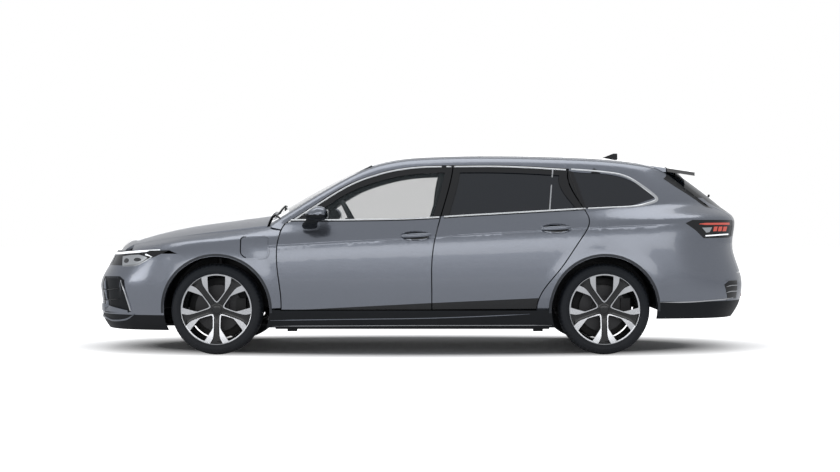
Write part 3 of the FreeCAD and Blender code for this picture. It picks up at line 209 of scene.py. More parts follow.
def paint_material():
    """Grey metallic paint: flakes under a clear coat, with a faint orange peel."""
    material = principled("grey_metallic_paint", (0.215, 0.23, 0.26), 0.33, 0.82,
                          Coat_Weight=1.0, Coat_Roughness=0.04, Coat_IOR=1.5)
    tree = material.node_tree
    shader = tree.nodes["Principled BSDF"]
    place = tree.nodes.new("ShaderNodeTexCoord")
    flakes = tree.nodes.new("ShaderNodeTexVoronoi")
    flakes.inputs["Scale"].default_value = 1400.0
    link(tree, place.outputs["Object"], flakes.inputs["Vector"])
    glitter = tree.nodes.new("ShaderNodeSeparateColor")
    link(tree, flakes.outputs["Color"], glitter.inputs[0])
    color = mix_in(tree, glitter.outputs["Red"], (0.186, 0.204, 0.242, 1.0), (0.252, 0.272, 0.316, 1.0))
    link(tree, dusted(tree, color, 0.12, (0.22, 0.20, 0.18, 1.0)), shader.inputs["Base Color"])
    link(tree, ramp_in(tree, glitter.outputs["Green"], 0.0, 1.0, 0.22, 0.31), shader.inputs["Roughness"])
    peel = noise_in(tree, place.outputs["Object"], 160.0, 1.0)
    bump_in(tree, peel.outputs["Fac"], 0.04, 0.0002)
    return material


def glass_material(name, color, alpha, roughness=0.02):
    """Tinted safety glass: a dark mirror at a slant, see-through from the front."""
    material = principled(name, color, roughness, 0.0, Coat_Weight=0.6, Coat_Roughness=0.02)
    tree = material.node_tree
    shader = tree.nodes["Principled BSDF"]
    place = tree.nodes.new("ShaderNodeTexCoord")
    smears = noise_in(tree, place.outputs["Object"], 3.0, 4.0)
    link(tree, ramp_in(tree, smears.outputs["Fac"], 0.4, 0.7, roughness, roughness + 0.04),
         shader.inputs["Roughness"])
    rim = tree.nodes.new("ShaderNodeLayerWeight")
    rim.inputs["Blend"].default_value = 0.25
    link(tree, ramp_in(tree, rim.outputs["Fresnel"], 0.0, 1.0, alpha, 1.0), shader.inputs["Alpha"])
    material.surface_render_method = "BLENDED"
    return material


PAINT = paint_material()
CHROME = add_grain(principled("satin_chrome", (0.72, 0.74, 0.76), 0.16, 1.0), 600, 0.02)
BRIGHT_RAIL = add_grain(principled("anodised_rail", (0.60, 0.61, 0.63), 0.28, 1.0), 700, 0.04)
GLOSS_BLACK = add_grain(principled("gloss_black", (0.004, 0.005, 0.007), 0.10, 0.0, Coat_Weight=0.25), 300,
                        0.01)
BLACK_TRIM = add_grain(principled("grained_black_plastic", (0.004, 0.006, 0.009), 0.44,
                                  Specular_IOR_Level=0.28), 700, 0.35, dust=0.08)
RUBBER_SEAL = add_grain(principled("seal_rubber", (0.010, 0.010, 0.011), 0.65), 500, 0.2)
CLEAR_GLASS = glass_material("clear_glass", (0.14, 0.17, 0.18), 0.13)
PRIVACY_GLASS = glass_material("privacy_glass", (0.004, 0.008, 0.015), 0.975)
LAMP_CLEAR = glass_material("lamp_lens", (0.35, 0.37, 0.39), 0.16)
TYRE = add_grain(principled("tyre_rubber", (0.010, 0.013, 0.018), 0.60, Specular_IOR_Level=0.35), 420, 0.25,
                 dust=0.10)
MACHINED = add_grain(principled("machined_alloy", (0.66, 0.67, 0.69), 0.24, 1.0), 500, 0.05)
WHEEL_BLACK = add_grain(principled("wheel_black_lacquer", (0.006, 0.007, 0.008), 0.26, 0.0, Coat_Weight=0.3),
                        400, 0.02)
CAST_IRON = add_grain(principled("bare_iron", (0.060, 0.060, 0.062), 0.45, 0.85), 260, 0.25)
STEEL = add_grain(principled("coated_steel", (0.025, 0.026, 0.028), 0.55, 0.3), 350, 0.2, dust=0.3)
ENGINE = add_grain(principled("cast_engine", (0.22, 0.22, 0.23), 0.5, 0.8), 200, 0.4)
LEATHER = add_grain(principled("black_leather", (0.030, 0.029, 0.028), 0.48), 380, 0.5, distance=0.0008)
CABIN_PLASTIC = add_grain(principled("cabin_plastic", (0.030, 0.031, 0.033), 0.55), 650, 0.4)
RED_LENS = add_grain(principled("red_lens", (0.42, 0.006, 0.008), 0.10, 0.0, Coat_Weight=0.8), 90, 0.05)

MATERIAL_OF_SLOT = {
    "car_paint": PAINT, "black_trim": BLACK_TRIM, "gloss_black": GLOSS_BLACK, "clear_glass": CLEAR_GLASS,
    "dark_glass": PRIVACY_GLASS, "lamp_clear": LAMP_CLEAR, "lamp_red": RED_LENS, "tyre_rubber": TYRE,
    "alloy": MACHINED, "brake_iron": CAST_IRON, "chassis_steel": STEEL, "engine_metal": ENGINE,
    "seat_leather": LEATHER, "cabin_plastic": CABIN_PLASTIC,
}
for name, piece in nodes.items():
    piece.data.materials.clear()
    piece.data.materials.append(MATERIAL_OF_SLOT[slot_of[name]])

# Shape helpers, all in metres


def finished(name, mesh, body, materials, smooth=True):
    """Links a mesh as one piece that rides on a body, with its materials and shading."""
    mesh.name = name
    for material in materials if isinstance(materials, (list, tuple)) else [materials]:
        mesh.materials.append(material)
    for face in mesh.polygons:
        face.use_smooth = smooth
    piece = bpy.data.objects.new(name, mesh)
    bpy.context.scene.collection.objects.link(piece)
    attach(piece, body)
    return piece


def mesh_of(vertices, faces, indices=None):
    """A mesh with its doubles merged and its faces turned outwards."""
    work = bmesh.new()
    placed = [work.verts.new(v) for v in vertices]
    for number, corners in enumerate(faces):
        if len(set(corners)) < 3:
            continue
        try:
            face = work.faces.new([placed[c] for c in corners])
        except ValueError:
            continue
        face.material_index = indices[number] if indices else 0
    bmesh.ops.remove_doubles(work, verts=work.verts, dist=1e-5)
    bmesh.ops.recalc_face_normals(work, faces=work.faces)
    mesh = bpy.data.meshes.new("piece")
    work.to_mesh(mesh)
    work.free()
    return mesh


def sharpen(piece, degrees=35.0):
    """Marks edges above an angle as sharp, so that flat faces stay flat under smooth shading."""
    work = bmesh.new()
    work.from_mesh(piece.data)
    limit = math.radians(degrees)
    for edge in work.edges:
        edge.smooth = not (len(edge.link_faces) == 2 and edge.calc_face_angle() > limit)
    work.to_mesh(piece.data)
    work.free()
    return piece


def evaluated_mesh(piece):
    """A new mesh of a piece with its modifiers applied."""
    graph = bpy.context.evaluated_depsgraph_get()
    return bpy.data.meshes.new_from_object(piece.evaluated_get(graph))


def bevelled(piece, width, segments=2, degrees=35.0):
    """Rounds the edges of a piece and applies the rounding."""
    modifier = piece.modifiers.new("round", "BEVEL")
    modifier.width = width
    modifier.segments = segments
    modifier.limit_method = "ANGLE"
    modifier.angle_limit = math.radians(degrees)
    rounded = evaluated_mesh(piece)
    piece.modifiers.clear()
    old = piece.data
    piece.data = rounded
    bpy.data.meshes.remove(old)
    return sharpen(piece, 50.0)


def flipped(mesh):
    """The mirror image of a mesh across the middle of the car."""
    work = bmesh.new()
    work.from_mesh(mesh)
    for vertex in work.verts:
        vertex.co.y = -vertex.co.y
    bmesh.ops.reverse_faces(work, faces=work.faces)
    twin = bpy.data.meshes.new(mesh.name + "_twin")
    work.to_mesh(twin)
    work.free()
    return twin


def loft(rings, closed_ring=True, closed_path=False, caps=True):
    """Vertices and faces of a skin over rings of equally many points."""
    count = len(rings[0])
    vertices = [point for ring in rings for point in ring]
    faces = []
    steps = len(rings) if closed_path else len(rings) - 1
    for i in range(steps):
        a, b = i * count, (i + 1) % len(rings) * count
        for j in range(count if closed_ring else count - 1):
            k = (j + 1) % count
            faces.append((a + j, a + k, b + k, b + j))
    if caps and closed_ring and not closed_path:
        faces.append(tuple(range(count))[::-1])
        faces.append(tuple((len(rings) - 1) * count + j for j in range(count)))
    return vertices, faces


def smooth_line(points, steps=8, closed=False):
    """Catmull-Rom points through a list of points of any dimension."""
    points = [Vector(p) for p in points]
    line = []
    count = len(points)
    spans = count if closed else count - 1
    for i in range(spans):
        if closed:
            before, start, end, after = (points[(i + k - 1) % count] for k in range(4))
        else:
            before = points[max(i - 1, 0)]
            start, end = points[i], points[i + 1]
            after = points[min(i + 2, count - 1)]
        for k in range(steps):
            t = k / steps
            line.append(0.5 * (2 * start + (end - before) * t
                               + (2 * before - 5 * start + 4 * end - after) * t * t
                               + (3 * start - before - 3 * end + after) * t ** 3))
    if not closed:
        line.append(points[-1])
    return line


def even_line(points, spacing):
    """Points at even spacing along a line of straight runs."""
    lengths = [0.0]
    for first, second in zip(points, points[1:]):
        lengths.append(lengths[-1] + (second - first).length)
    count = max(int(round(lengths[-1] / spacing)), 1)
    result = []
    run = 0
    for i in range(count + 1):
        target = lengths[-1] * i / count
        while run < len(points) - 2 and lengths[run + 1] < target:
            run += 1
        span = lengths[run + 1] - lengths[run]
        share = (target - lengths[run]) / span if span else 0.0
        result.append(points[run].lerp(points[run + 1], min(max(share, 0.0), 1.0)))
    return result


# The camera: its focal length and the frame's middle and horizon in pixels, and its place in metres
FOCAL_PIXELS = 1520.0
PHOTO_MIDDLE = 420.0
PHOTO_HORIZON = 218.4
CAMERA_X = -0.014
CAMERA_DISTANCE = 12.0
CAMERA_HEIGHT = 1.0


def at(u, v, y=-0.905):
    """(x, z) of a photo position on a plane of the car's left side."""
    scale = (CAMERA_DISTANCE + y) / FOCAL_PIXELS
    return (u - PHOTO_MIDDLE) * scale + CAMERA_X, CAMERA_HEIGHT + (PHOTO_HORIZON - v) * scale


def tree_of(names):
    """A search tree over the named CAD nodes."""
    vertices, faces = [], []
    for name in names:
        mesh = nodes[name].data
        start = len(vertices)
        vertices += [v.co.copy() for v in mesh.vertices]
        faces += [tuple(start + i for i in face.vertices) for face in mesh.polygons]
    return BVHTree.FromPolygons(vertices, faces)


def tree_over(mesh):
    """A search tree over one mesh."""
    return BVHTree.FromPolygons([v.co.copy() for v in mesh.vertices],
                                [tuple(p.vertices) for p in mesh.polygons])


SIDE_NODES = [name for name in nodes if name.endswith("_left") and "door" in name] + [
    "roof_rails", "rear_quarters", "front_fenders", "sills", "front_bumper", "rear_bumper", "headlamps",
    "tail_lamps", "hood", "roof_panel", "tailgate"]
SIDE = tree_of(SIDE_NODES)


def on_side(x, z, tree=SIDE):
    """The left skin's point at (x, z) and its outward direction."""
    hits = []
    for reach in (0.0, 0.006, 0.012, 0.018, 0.026):
        for shift in {-reach, reach}:
            place, normal, _, _ = tree.ray_cast(Vector((x, -2.0, z + shift)), Vector((0, 1, 0)))
            if place is not None and place.y < -0.3 and abs(normal.y) > 0.25:
                place.z = z
                hits.append((place, normal if normal.y < 0 else -normal))
        if hits:
            break
    if not hits:
        return None, None
    place = sum((p for p, _ in hits), Vector()) / len(hits)
    normal = sum((n for _, n in hits), Vector()).normalized()
    return place, normal


def side_path(points, spacing, steps):
    """Points and directions on the left skin along a smooth line through (x, z) points."""
    line = smooth_line(points, steps) if steps else [Vector(p) for p in points]
    flat = even_line(line, spacing)
    places = []
    for point in flat:
        place, normal = on_side(point[0], point[1])
        if place is not None:
            places.append((place, normal))
    for _ in range(3):
        normals = [n for _, n in places]
        places = [(p, (normals[max(i - 1, 0)] + normals[i]
                       + normals[min(i + 1, len(places) - 1)]).normalized())
                  for i, (p, n) in enumerate(places)]
    return places


def strip_mesh(places, profile, widths=None):
    """Sweeps a profile of (across, out) points along skin places; widths scales it at each place."""
    rings = []
    for i, (place, normal) in enumerate(places):
        before = places[max(i - 1, 0)][0]
        after = places[min(i + 1, len(places) - 1)][0]
        along = (after - before).normalized()
        across = normal.cross(along).normalized()
        scale = widths[i] if widths else 1.0
        rings.append([place + across * a * scale + normal * b for a, b in profile])
    return mesh_of(*loft(rings))


def both_sides(half):
    """A profile of (across, out) points from its right half."""
    return half + [(-across, out) for across, out in reversed(half)]


def flat_profile(width, height, edge=0.001, sink=0.002):
    """A flat strip with eased edges and its feet sunk into the skin."""
    return both_sides([(width / 2, -sink), (width / 2, height - edge), (width / 2 - edge, height)])


def side_strip(name, points, profile, body, material, spacing, widths=None, both=True, steps=8):
    """A strip along the left skin, and its mirror image on the right."""
    places = side_path(points, spacing, steps)
    if widths:
        count = len(places) - 1
        widths = [smooth_widths(widths, i / count) for i in range(count + 1)]
    mesh = strip_mesh(places, profile, widths)
    return pair(name, mesh, body, material, both)


def smooth_widths(widths, share):
    """The width factor at a share of the length, from (share, factor) pairs."""
    for (s0, w0), (s1, w1) in zip(widths, widths[1:]):
        if share <= s1:
            t = (share - s0) / (s1 - s0) if s1 > s0 else 0.0
            return w0 + (w1 - w0) * t * t * (3 - 2 * t)
    return widths[-1][1]


def pair(name, mesh, body, material, both=True):
    """The left piece, and its mirror image on the body of the same name on the right."""
    twin = flipped(mesh) if both else None
    left_name = name + "_left" if both else name
    left = finished(left_name, mesh, body, material)
    sharpen(left)
    if not both:
        return [left]
    right = finished(name + "_right", twin, body.replace("left", "right"), material)
    sharpen(right)
    return [left, right]


def outline_fill(points, spacing=0.012):
    """A triangulated (x, z) region with inner points at even spacing, so that it can follow a skin."""
    work = bmesh.new()
    ring = [work.verts.new((p[0], 0.0, p[1])) for p in points]
    for i, vertex in enumerate(ring):
        work.edges.new((vertex, ring[(i + 1) % len(ring)]))
    bmesh.ops.triangle_fill(work, edges=work.edges, use_beauty=True)
    xs = [p[0] for p in points]
    zs = [p[1] for p in points]
    for axis, low, high in ((0, min(xs), max(xs)), (2, min(zs), max(zs))):
        direction = (1, 0, 0) if axis == 0 else (0, 0, 1)
        level = low + spacing
        while level < high:
            origin = (level, 0, 0) if axis == 0 else (0, 0, level)
            geometry = list(work.verts) + list(work.edges) + list(work.faces)
            bmesh.ops.bisect_plane(work, geom=geometry, plane_co=origin, plane_no=direction, dist=1e-6)
            level += spacing
    return work


def side_patch(name, points, body, material, lift, spacing, tree, thickness=0.003):
    """A thin cover with an (x, z) outline that follows the left skin, and its mirror image."""
    work = outline_fill(points, spacing)
    for vertex in list(work.verts):
        place, _ = on_side(vertex.co.x, vertex.co.z, tree)
        if place is None:
            work.verts.remove(vertex)
        else:
            vertex.co = place + Vector((0, -1, 0)) * lift
    extruded = bmesh.ops.extrude_face_region(work, geom=list(work.faces))
    for item in extruded["geom"]:
        if isinstance(item, bmesh.types.BMVert):
            item.co.y += thickness
    bmesh.ops.recalc_face_normals(work, faces=work.faces)
    mesh = bpy.data.meshes.new(name)
    work.to_mesh(mesh)
    work.free()
    return pair(name, mesh, body, material)


def box_mesh(low, high):
    """A box between two corners."""
    (x0, y0, z0), (x1, y1, z1) = low, high
    corners = [(x, y, z) for x in (x0, x1) for y in (y0, y1) for z in (z0, z1)]
    faces = [(0, 1, 3, 2), (4, 6, 7, 5), (0, 4, 5, 1), (2, 3, 7, 6), (0, 2, 6, 4), (1, 5, 7, 3)]
    return mesh_of(corners, faces)


def turned_mesh(profile, segments):
    """Vertices and faces of a ring turned about the Y axis from (radius, y) points."""
    vertices, faces = [], []
    count = len(profile)
    for i in range(segments):
        angle = 2 * math.pi * i / segments
        for radius, y in profile:
            vertices.append((radius * math.cos(angle), y, radius * math.sin(angle)))
        a, b = i * count, (i + 1) % segments * count
        faces += [(a + j, a + j + 1, b + j + 1, b + j) for j in range(count - 1)]
    return vertices, faces


# Wheels, in their own place with the outside towards -Y, then moved to each hub

AXLES = {"front": -1.5035, "rear": 1.3375}
TYRE_RADIUS = 0.3353
TYRE_HALF_WIDTH = 0.1175
RIM_HALF_WIDTH = 0.108
SPOKE_COUNT = 5
SPOKE_STEP = 360 / SPOKE_COUNT
FIRST_SPOKE = 270
# Faces of a rim by material: machined, lacquered and bare
BRIGHT, DARK, BARE = range(3)
PITCHES = 68


def tyre_ring(angle, low):
    """Points of the tyre's section at one angle; low sinks the shoulder blocks into a cross groove."""
    half = TYRE_HALF_WIDTH
    tread = TYRE_RADIUS
    cut = 0.006 if low else 0.0
    right = [
        (0.0, tread), (0.0095, tread), (0.0100, tread - 0.0065), (0.0190, tread - 0.0065), (0.0195, tread),
        (0.0270, tread - 0.0003), (0.0470, tread - 0.0007), (0.0475, tread - 0.0072),
        (0.0560, tread - 0.0072),
        (0.0565, tread - 0.0012), (0.0640, tread - 0.0018 - cut), (0.0860, tread - 0.0048 - cut),
        (0.0960, tread - 0.0085 - cut), (0.1030, tread - 0.0140 - cut * 0.8),
        (0.1075, tread - 0.0190 - cut * 0.3),
        (0.1100, tread - 0.0240), (half - 0.0040, tread - 0.0330), (half - 0.0010, tread - 0.0410),
        (half, tread - 0.0480), (half - 0.0010, tread - 0.0530), (half - 0.0018, tread - 0.0545),
        (half - 0.0030, tread - 0.0600), (half - 0.0055, tread - 0.0655), (0.1095, tread - 0.0690),
        (0.1075, tread - 0.0722), (0.1040, 0.2585), (0.0990, 0.2575),
    ]
    section = [(-y, r) for y, r in reversed(right[1:])] + right
    return [(r * math.cos(angle), y, r * math.sin(angle)) for y, r in section]


def tyre_mesh():
    """Tread with three grooves and shoulder blocks, flexed sidewalls and a rim protector."""
    rings = []
    pitch = 2 * math.pi / PITCHES
    for i in range(PITCHES):
        start = i * pitch
        for share, low in ((0.02, False), (0.30, False), (0.58, False), (0.86, False), (0.875, True),
                           (0.985, True)):
            rings.append(tyre_ring(start + share * pitch, low))
    vertices, faces = loft(rings, closed_ring=False, closed_path=True)
    return mesh_of(vertices, faces)


def dish(radius):
    """How far inboard of the rim's outer edge the spoke faces lie."""
    share = min(max(radius / 0.250, 0.0), 1.0)
    return 0.010 + 0.030 * (1 - share) ** 1.15


# One side of a double spoke: window edge and channel edge, as (offset, along) from the hub out
SPOKE_STATIONS = [
    ((0.0341, 0.0469), (0.0270, 0.0372)), ((0.0300, 0.0600), (0.0205, 0.0540)),
    ((0.0288, 0.0850), (0.0198, 0.0850)),
    ((0.0283, 0.1120), (0.0196, 0.1120)), ((0.0285, 0.1380), (0.0197, 0.1400)),
    ((0.0375, 0.1560), (0.0205, 0.1660)),
    ((0.0560, 0.1840), (0.0222, 0.1930)), ((0.0775, 0.2160), (0.0275, 0.2160)),
    ((0.0912, 0.2335), (0.0445, 0.2475)),
]
SPOKE_DEPTH = 0.040
SPOKE_HALF_ANGLE = 10.2


def wheel_turned(offset, along, depth, angle):
    """A point of the wheel from spoke axes, with depth measured in from the rim's outer edge."""
    c, s = math.cos(angle), math.sin(angle)
    return (along * c - offset * s, depth - RIM_HALF_WIDTH, along * s + offset * c)


def spoke_mesh():
    """Five double spokes: machined faces, a black channel between them and black walls."""
    vertices, faces, indices = [], [], []
    for number in range(SPOKE_COUNT):
        angle = math.radians(FIRST_SPOKE + SPOKE_STEP * number)
        rings = []
        for window, channel in SPOKE_STATIONS:
            face_w = dish(math.hypot(*window))
            face_c = dish(math.hypot(*channel))
            share = channel[1] / 0.25
            recess = 0.004 + 0.010 * share
            wall = SPOKE_DEPTH - 0.012 * share
            half = [
                (window[0] - 0.004, window[1], face_w + wall),
                (window[0] - 0.0005, window[1], face_w + 0.0012),
                (window[0] - 0.0012, window[1], face_w), (channel[0] + 0.0010, channel[1], face_c),
                (channel[0], channel[1], face_c + 0.0012), (channel[0] - 0.0030, channel[1], face_c + recess),
                (channel[0] * 0.5, channel[1], face_c + recess + 0.0012),
            ]
            middle = (0.0, channel[1], face_c + recess + 0.0016)
            ring = half + [middle] + [(-o, a, d) for o, a, d in reversed(half)]
            rings.append([wheel_turned(o, a, d, angle) for o, a, d in ring])
        start = len(vertices)
        count = len(rings[0])
        vertices += [p for ring in rings for p in ring]
        for i in range(len(rings) - 1):
            for j in range(count):
                k = (j + 1) % count
                a, b = start + i * count, start + (i + 1) * count
                faces.append((a + j, a + k, b + k, b + j))
                indices.append(BRIGHT if j in (1, 2, count - 4, count - 3) else DARK)
        faces.append(tuple(start + (len(rings) - 1) * count + j for j in range(count)))
        faces.append(tuple(start + j for j in range(count))[::-1])
        indices += [DARK, DARK]
    return mesh_of(vertices, faces, indices)


def band_mesh():
    """Lip, outer band with the bright arcs over the windows, and the barrel."""
    profile = [
        (0.2365, 0.060), (0.2385, 0.040), (0.2475, 0.022), (0.2478, 0.0112), (0.2486, 0.0104),
        (0.2548, 0.0090),
        (0.2556, 0.0060), (0.2606, 0.0040), (0.2620, 0.0052), (0.2622, 0.0110), (0.2560, 0.0150),
        (0.2500, 0.0300),
        (0.2480, 0.0600), (0.2430, 0.1500), (0.2560, 0.2050), (0.2580, 0.2160), (0.2340, 0.2160),
        (0.2320, 0.1500),
    ]
    segments = 240
    vertices, faces = turned_mesh([(r, d - RIM_HALF_WIDTH) for r, d in profile + profile[:1]], segments)
    count = len(profile)
    indices = []
    for i in range(segments):
        angle = math.degrees(2 * math.pi * (i + 0.5) / segments)
        off_spoke = abs((angle - FIRST_SPOKE + SPOKE_STEP / 2) % SPOKE_STEP - SPOKE_STEP / 2)
        for j in range(count):
            bright = j in (6, 7, 8) or j in (3, 4, 5) and off_spoke > SPOKE_HALF_ANGLE
            indices.append(BRIGHT if bright else DARK)
    return mesh_of(vertices, faces, indices)


def hub_mesh():
    """Black hub centre with a round cap, and five bare wheel bolts in their wells."""
    base = dish(0.046)
    profile = [
        (0.0, base - 0.004), (0.012, base - 0.0037), (0.024, base - 0.0026), (0.0305, base - 0.0012),
        (0.0318, base + 0.0002), (0.0322, base + 0.0030), (0.0335, base + 0.0030), (0.0338, base + 0.0002),
        (0.0362, base + 0.0004), (0.0370, base + 0.0040), (0.0460, base + 0.0050), (0.0540, base + 0.0085),
        (0.0600, base + 0.0240), (0.0600, base + 0.0450), (0.0, base + 0.0450),
    ]
    vertices, faces = turned_mesh([(r, d - RIM_HALF_WIDTH) for r, d in profile], 80)
    indices = [DARK] * len(faces)
    for number in range(SPOKE_COUNT):
        angle = math.radians(FIRST_SPOKE + SPOKE_STEP * number)
        along = 0.056
        depth = dish(along) + 0.0075
        rings = []
        for radius, rise in ((0.0112, 0.004), (0.0112, -0.0025), (0.0098, -0.0040), (0.0072, -0.0040),
                             (0.0068, 0.0015), (0.0, 0.0020)):
            sides = 6 if radius in (0.0072, 0.0068) else 24
            ring = []
            for k in range(24):
                turn = 2 * math.pi * k / 24
                reach = radius
                if sides == 6:
                    reach = radius * math.cos(math.pi / 6) / math.cos((turn % (math.pi / 3)) - math.pi / 6)
                ring.append(wheel_turned(reach * math.sin(turn), along + reach * math.cos(turn),
                                         depth + rise, angle))
            rings.append(ring)
        more, more_faces = loft(rings, caps=False)
        start = len(vertices)
        vertices += more
        faces += [tuple(start + c for c in face) for face in more_faces]
        indices += [BARE] * len(more_faces)
    return mesh_of(vertices, faces, indices)


def joined_mesh(meshes):
    """One mesh of several, not merged."""
    work = bmesh.new()
    for mesh in meshes:
        work.from_mesh(mesh)
    result = bpy.data.meshes.new("joined")
    work.to_mesh(result)
    work.free()
    return result


def moved(mesh, offset, mirror):
    """A copy of a mesh, mirrored across the middle if asked, then moved."""
    work = bmesh.new()
    work.from_mesh(mesh)
    for vertex in work.verts:
        if mirror:
            vertex.co.y = -vertex.co.y
        vertex.co += offset
    if mirror:
        bmesh.ops.reverse_faces(work, faces=work.faces)
    result = bpy.data.meshes.new("moved")
    work.to_mesh(result)
    work.free()
    return result


TYRE_FORM = tyre_mesh()
RIM_FORM = joined_mesh([spoke_mesh(), band_mesh(), hub_mesh()])
for end, axle in AXLES.items():
    for side in ("left", "right"):
        place = f"{end}_{side}"
        low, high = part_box(f"tyre_{place}")
        hub = Vector((axle, (low.y + high.y) / 2, TYRE_RADIUS))
        mirror = side == "right"
        tyre = finished(f"tyre_tread_{place}", moved(TYRE_FORM, hub, mirror), f"wheel_{place}", TYRE)
        sharpen(tyre, 30.0)
        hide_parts(f"tyre_{place}")
        rim = finished(f"rim_spokes_{place}", moved(RIM_FORM, hub, mirror), f"wheel_{place}",
                       [MACHINED, WHEEL_BLACK, CAST_IRON])
        sharpen(rim, 28.0)
        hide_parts(f"rim_{place}")


# Painted panels: copies of the CAD skins with their creases pressed in and their black parts; the gloss black
# under the doors' low crease and in the handle cups is painted shade


def crease_of(x):
    """Height of the shoulder crease along the side."""
    if x < 1.117:
        return 0.857 + 0.0568 * (x + 0.164)
    return 0.930 + 0.0455 * (x - 1.117)


def height_at(points, x):
    """Height at x of a line of straight runs, whose end runs go on past their ends."""
    for (x0, z0), (x1, z1) in zip(points, points[1:]):
        if x <= x1:
            break
    return z0 + (z1 - z0) * (x - x0) / (x1 - x0)


SILL_CREASE = [(-1.30, 0.300), (-1.032, 0.3245), (-0.014, 0.378), (0.861, 0.419), (1.30, 0.440)]
BELT_POINTS = [(-1.30, 0.974), (-0.948, 0.981), (-0.160, 0.9956), (0.278, 1.0197), (1.197, 1.072),
               (1.584, 1.0978), (2.2, 1.139)]
BELT_HALF_WIDTH = 0.004


def sill_crease_of(x):
    """Height of the low crease under which the doors turn in."""
    return height_at(SILL_CREASE, x)


def belt_of(x):
    """Height of the chrome line under the windows."""
    return height_at(BELT_POINTS, x)


HANDLES = {"front_door": (-0.043, 0.873), "rear_door": (0.980, 0.926)}
CUP_LENGTH = 0.116
CUP_HEIGHT = 0.036
CUP_DEPTH = 0.022
# Faces of a panel by material: paint, gloss black and grained trim
PAINTED, GLOSSED, GRAINED = range(3)


def pressed(x, z, cup):
    """How far the skin stands out (+) or in (-) at a point of the side."""
    shift = 0.0
    fade = min(max((x + 1.17) / 0.08, 0.0), 1.0) * min(max((1.93 - x) / 0.25, 0.0), 1.0)
    over = z - crease_of(x)
    if 0 <= over < 0.070:
        shift += 0.0045 * (1 - over / 0.070) ** 2 * fade
    elif -0.010 < over < 0:
        shift += 0.0045 * (1 + over / 0.010) * fade
    under = sill_crease_of(x) - z
    if under > 0 and -1.2 < x < 1.0:
        shift -= 0.20 * under
    if cup:
        reach = ((x - cup[0]) / CUP_LENGTH) ** 2 + ((z - cup[1]) / CUP_HEIGHT) ** 2
        if reach < 1:
            shift -= CUP_DEPTH * (1 - reach) ** 0.75
    return shift


def region_planes(points):
    """Upright cutting planes through a line of (x, z) points."""
    planes = []
    for (x0, z0), (x1, z1) in zip(points, points[1:]):
        planes.append((Vector((x0, 0, z0)), Vector((z0 - z1, 0, x1 - x0)).normalized()))
    return planes


def dress(node, material_of, cup=None, planes=(), crease=True, angle=30.0):
    """Replaces a CAD skin by a copy with creases and door cups pressed in and a material for each face."""
    work = bmesh.new()
    work.from_mesh(nodes[node].data)
    bmesh.ops.remove_doubles(work, verts=work.verts, dist=2e-5)

    def cut(place, direction, region=None):
        """Cuts the faces of a region, or all, along a plane."""
        faces = [f for f in work.faces if region is None or region(f.calc_center_bounds())]
        edges = {e for f in faces for e in f.edges}
        verts = {v for f in faces for v in f.verts}
        bmesh.ops.bisect_plane(work, geom=list(verts) + list(edges) + faces, plane_co=place,
                               plane_no=direction, dist=1e-5)

    if crease:
        rise = Vector((-0.055, 0, 1)).normalized()
        for offset in (0.070, 0.050, 0.033, 0.018, 0.008, 0.0, -0.005, -0.010):
            cut(Vector((0.0, 0, crease_of(0.0) + offset)), rise)
        for x0, x1 in ((-1.032, -0.014), (-0.014, 0.861)):
            z0, z1 = sill_crease_of(x0), sill_crease_of(x1)
            slope = Vector((z0 - z1, 0, x1 - x0)).normalized()
            cut(Vector((x0, 0, z0)), slope)
    for place, direction in planes:
        cut(place, direction)
    if cup:
        def near_cup(center):
            return abs(center.z - cup[1]) < 0.12 and abs(center.x - cup[0]) < 0.4

        for i in range(-10, 11):
            cut(Vector((cup[0] + i * CUP_LENGTH / 10, 0, 0)), Vector((1, 0, 0)), near_cup)
        for i in range(-8, 9):
            cut(Vector((0, 0, cup[1] + i * CUP_HEIGHT / 8)), Vector((0, 0, 1)), near_cup)
    work.normal_update()
    if crease:
        moves = []
        for vertex in work.verts:
            side = 1.0 if vertex.co.y > 0 else -1.0
            if vertex.normal.y * side < 0.3:
                continue
            moves.append((vertex, side * pressed(vertex.co.x, vertex.co.z, cup)))
        for vertex, move in moves:
            vertex.co.y += move
    for face in work.faces:
        face.material_index = material_of(face.calc_center_median(), face.normal)
    mesh = bpy.data.meshes.new(node + "_dressed")
    work.to_mesh(mesh)
    work.free()
    piece = finished(node + "_panel", mesh, body_of_node[node], [PAINT, GLOSS_BLACK, BLACK_TRIM])
    sharpen(piece, angle)
    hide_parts(node)
    return piece


def door_material(center, normal):
    """Gloss black above the belt for the window frames; gloss black as painted shade under the low crease and
    in the handle cups; paint elsewhere.
    """
    side = 1.0 if center.y > 0 else -1.0
    if center.z > belt_of(center.x) + BELT_HALF_WIDTH:
        return GLOSSED
    # Painted shade: the outward faces under the low crease are gloss black, for the dark of the turned-in
    # lower door
    if normal.y * side > 0.3 and center.z < sill_crease_of(center.x):
        return GLOSSED
    # Painted shade: the handle cups are gloss black
    for cup_x, cup_z in HANDLES.values():
        reach = ((center.x - cup_x) / 0.096) ** 2 + ((center.z - cup_z) / 0.027) ** 2
        if reach < 1 and normal.y * side > 0.1:
            return GLOSSED
    return PAINTED


BELT_PLANES = region_planes([(x, z + BELT_HALF_WIDTH) for x, z in BELT_POINTS[1:5]])
for side in ("left", "right"):
    dress(f"front_door_{side}", door_material, HANDLES["front_door"], BELT_PLANES[:2])
    dress(f"rear_door_{side}", door_material, HANDLES["rear_door"], BELT_PLANES[2:])

QUARTER_LOOP = [(1.080, 1.372), (1.287, 1.354), (1.481, 1.327), (1.600, 1.275), (1.702, 1.197),
                (1.740, 1.150), (1.715, 1.112), (1.584, 1.098), (1.197, 1.072), (1.080, 1.066)]


def inside(x, z, outline):
    """Whether (x, z) lies inside a closed outline."""
    hit = False
    for (x0, z0), (x1, z1) in zip(outline, outline[1:] + outline[:1]):
        if (z0 > z) != (z1 > z) and x < x0 + (z - z0) / (z1 - z0) * (x1 - x0):
            hit = not hit
    return hit


def quarter_material(center, normal):
    """Gloss black round the quarter window."""
    return GLOSSED if inside(center.x, center.z, QUARTER_LOOP) else PAINTED


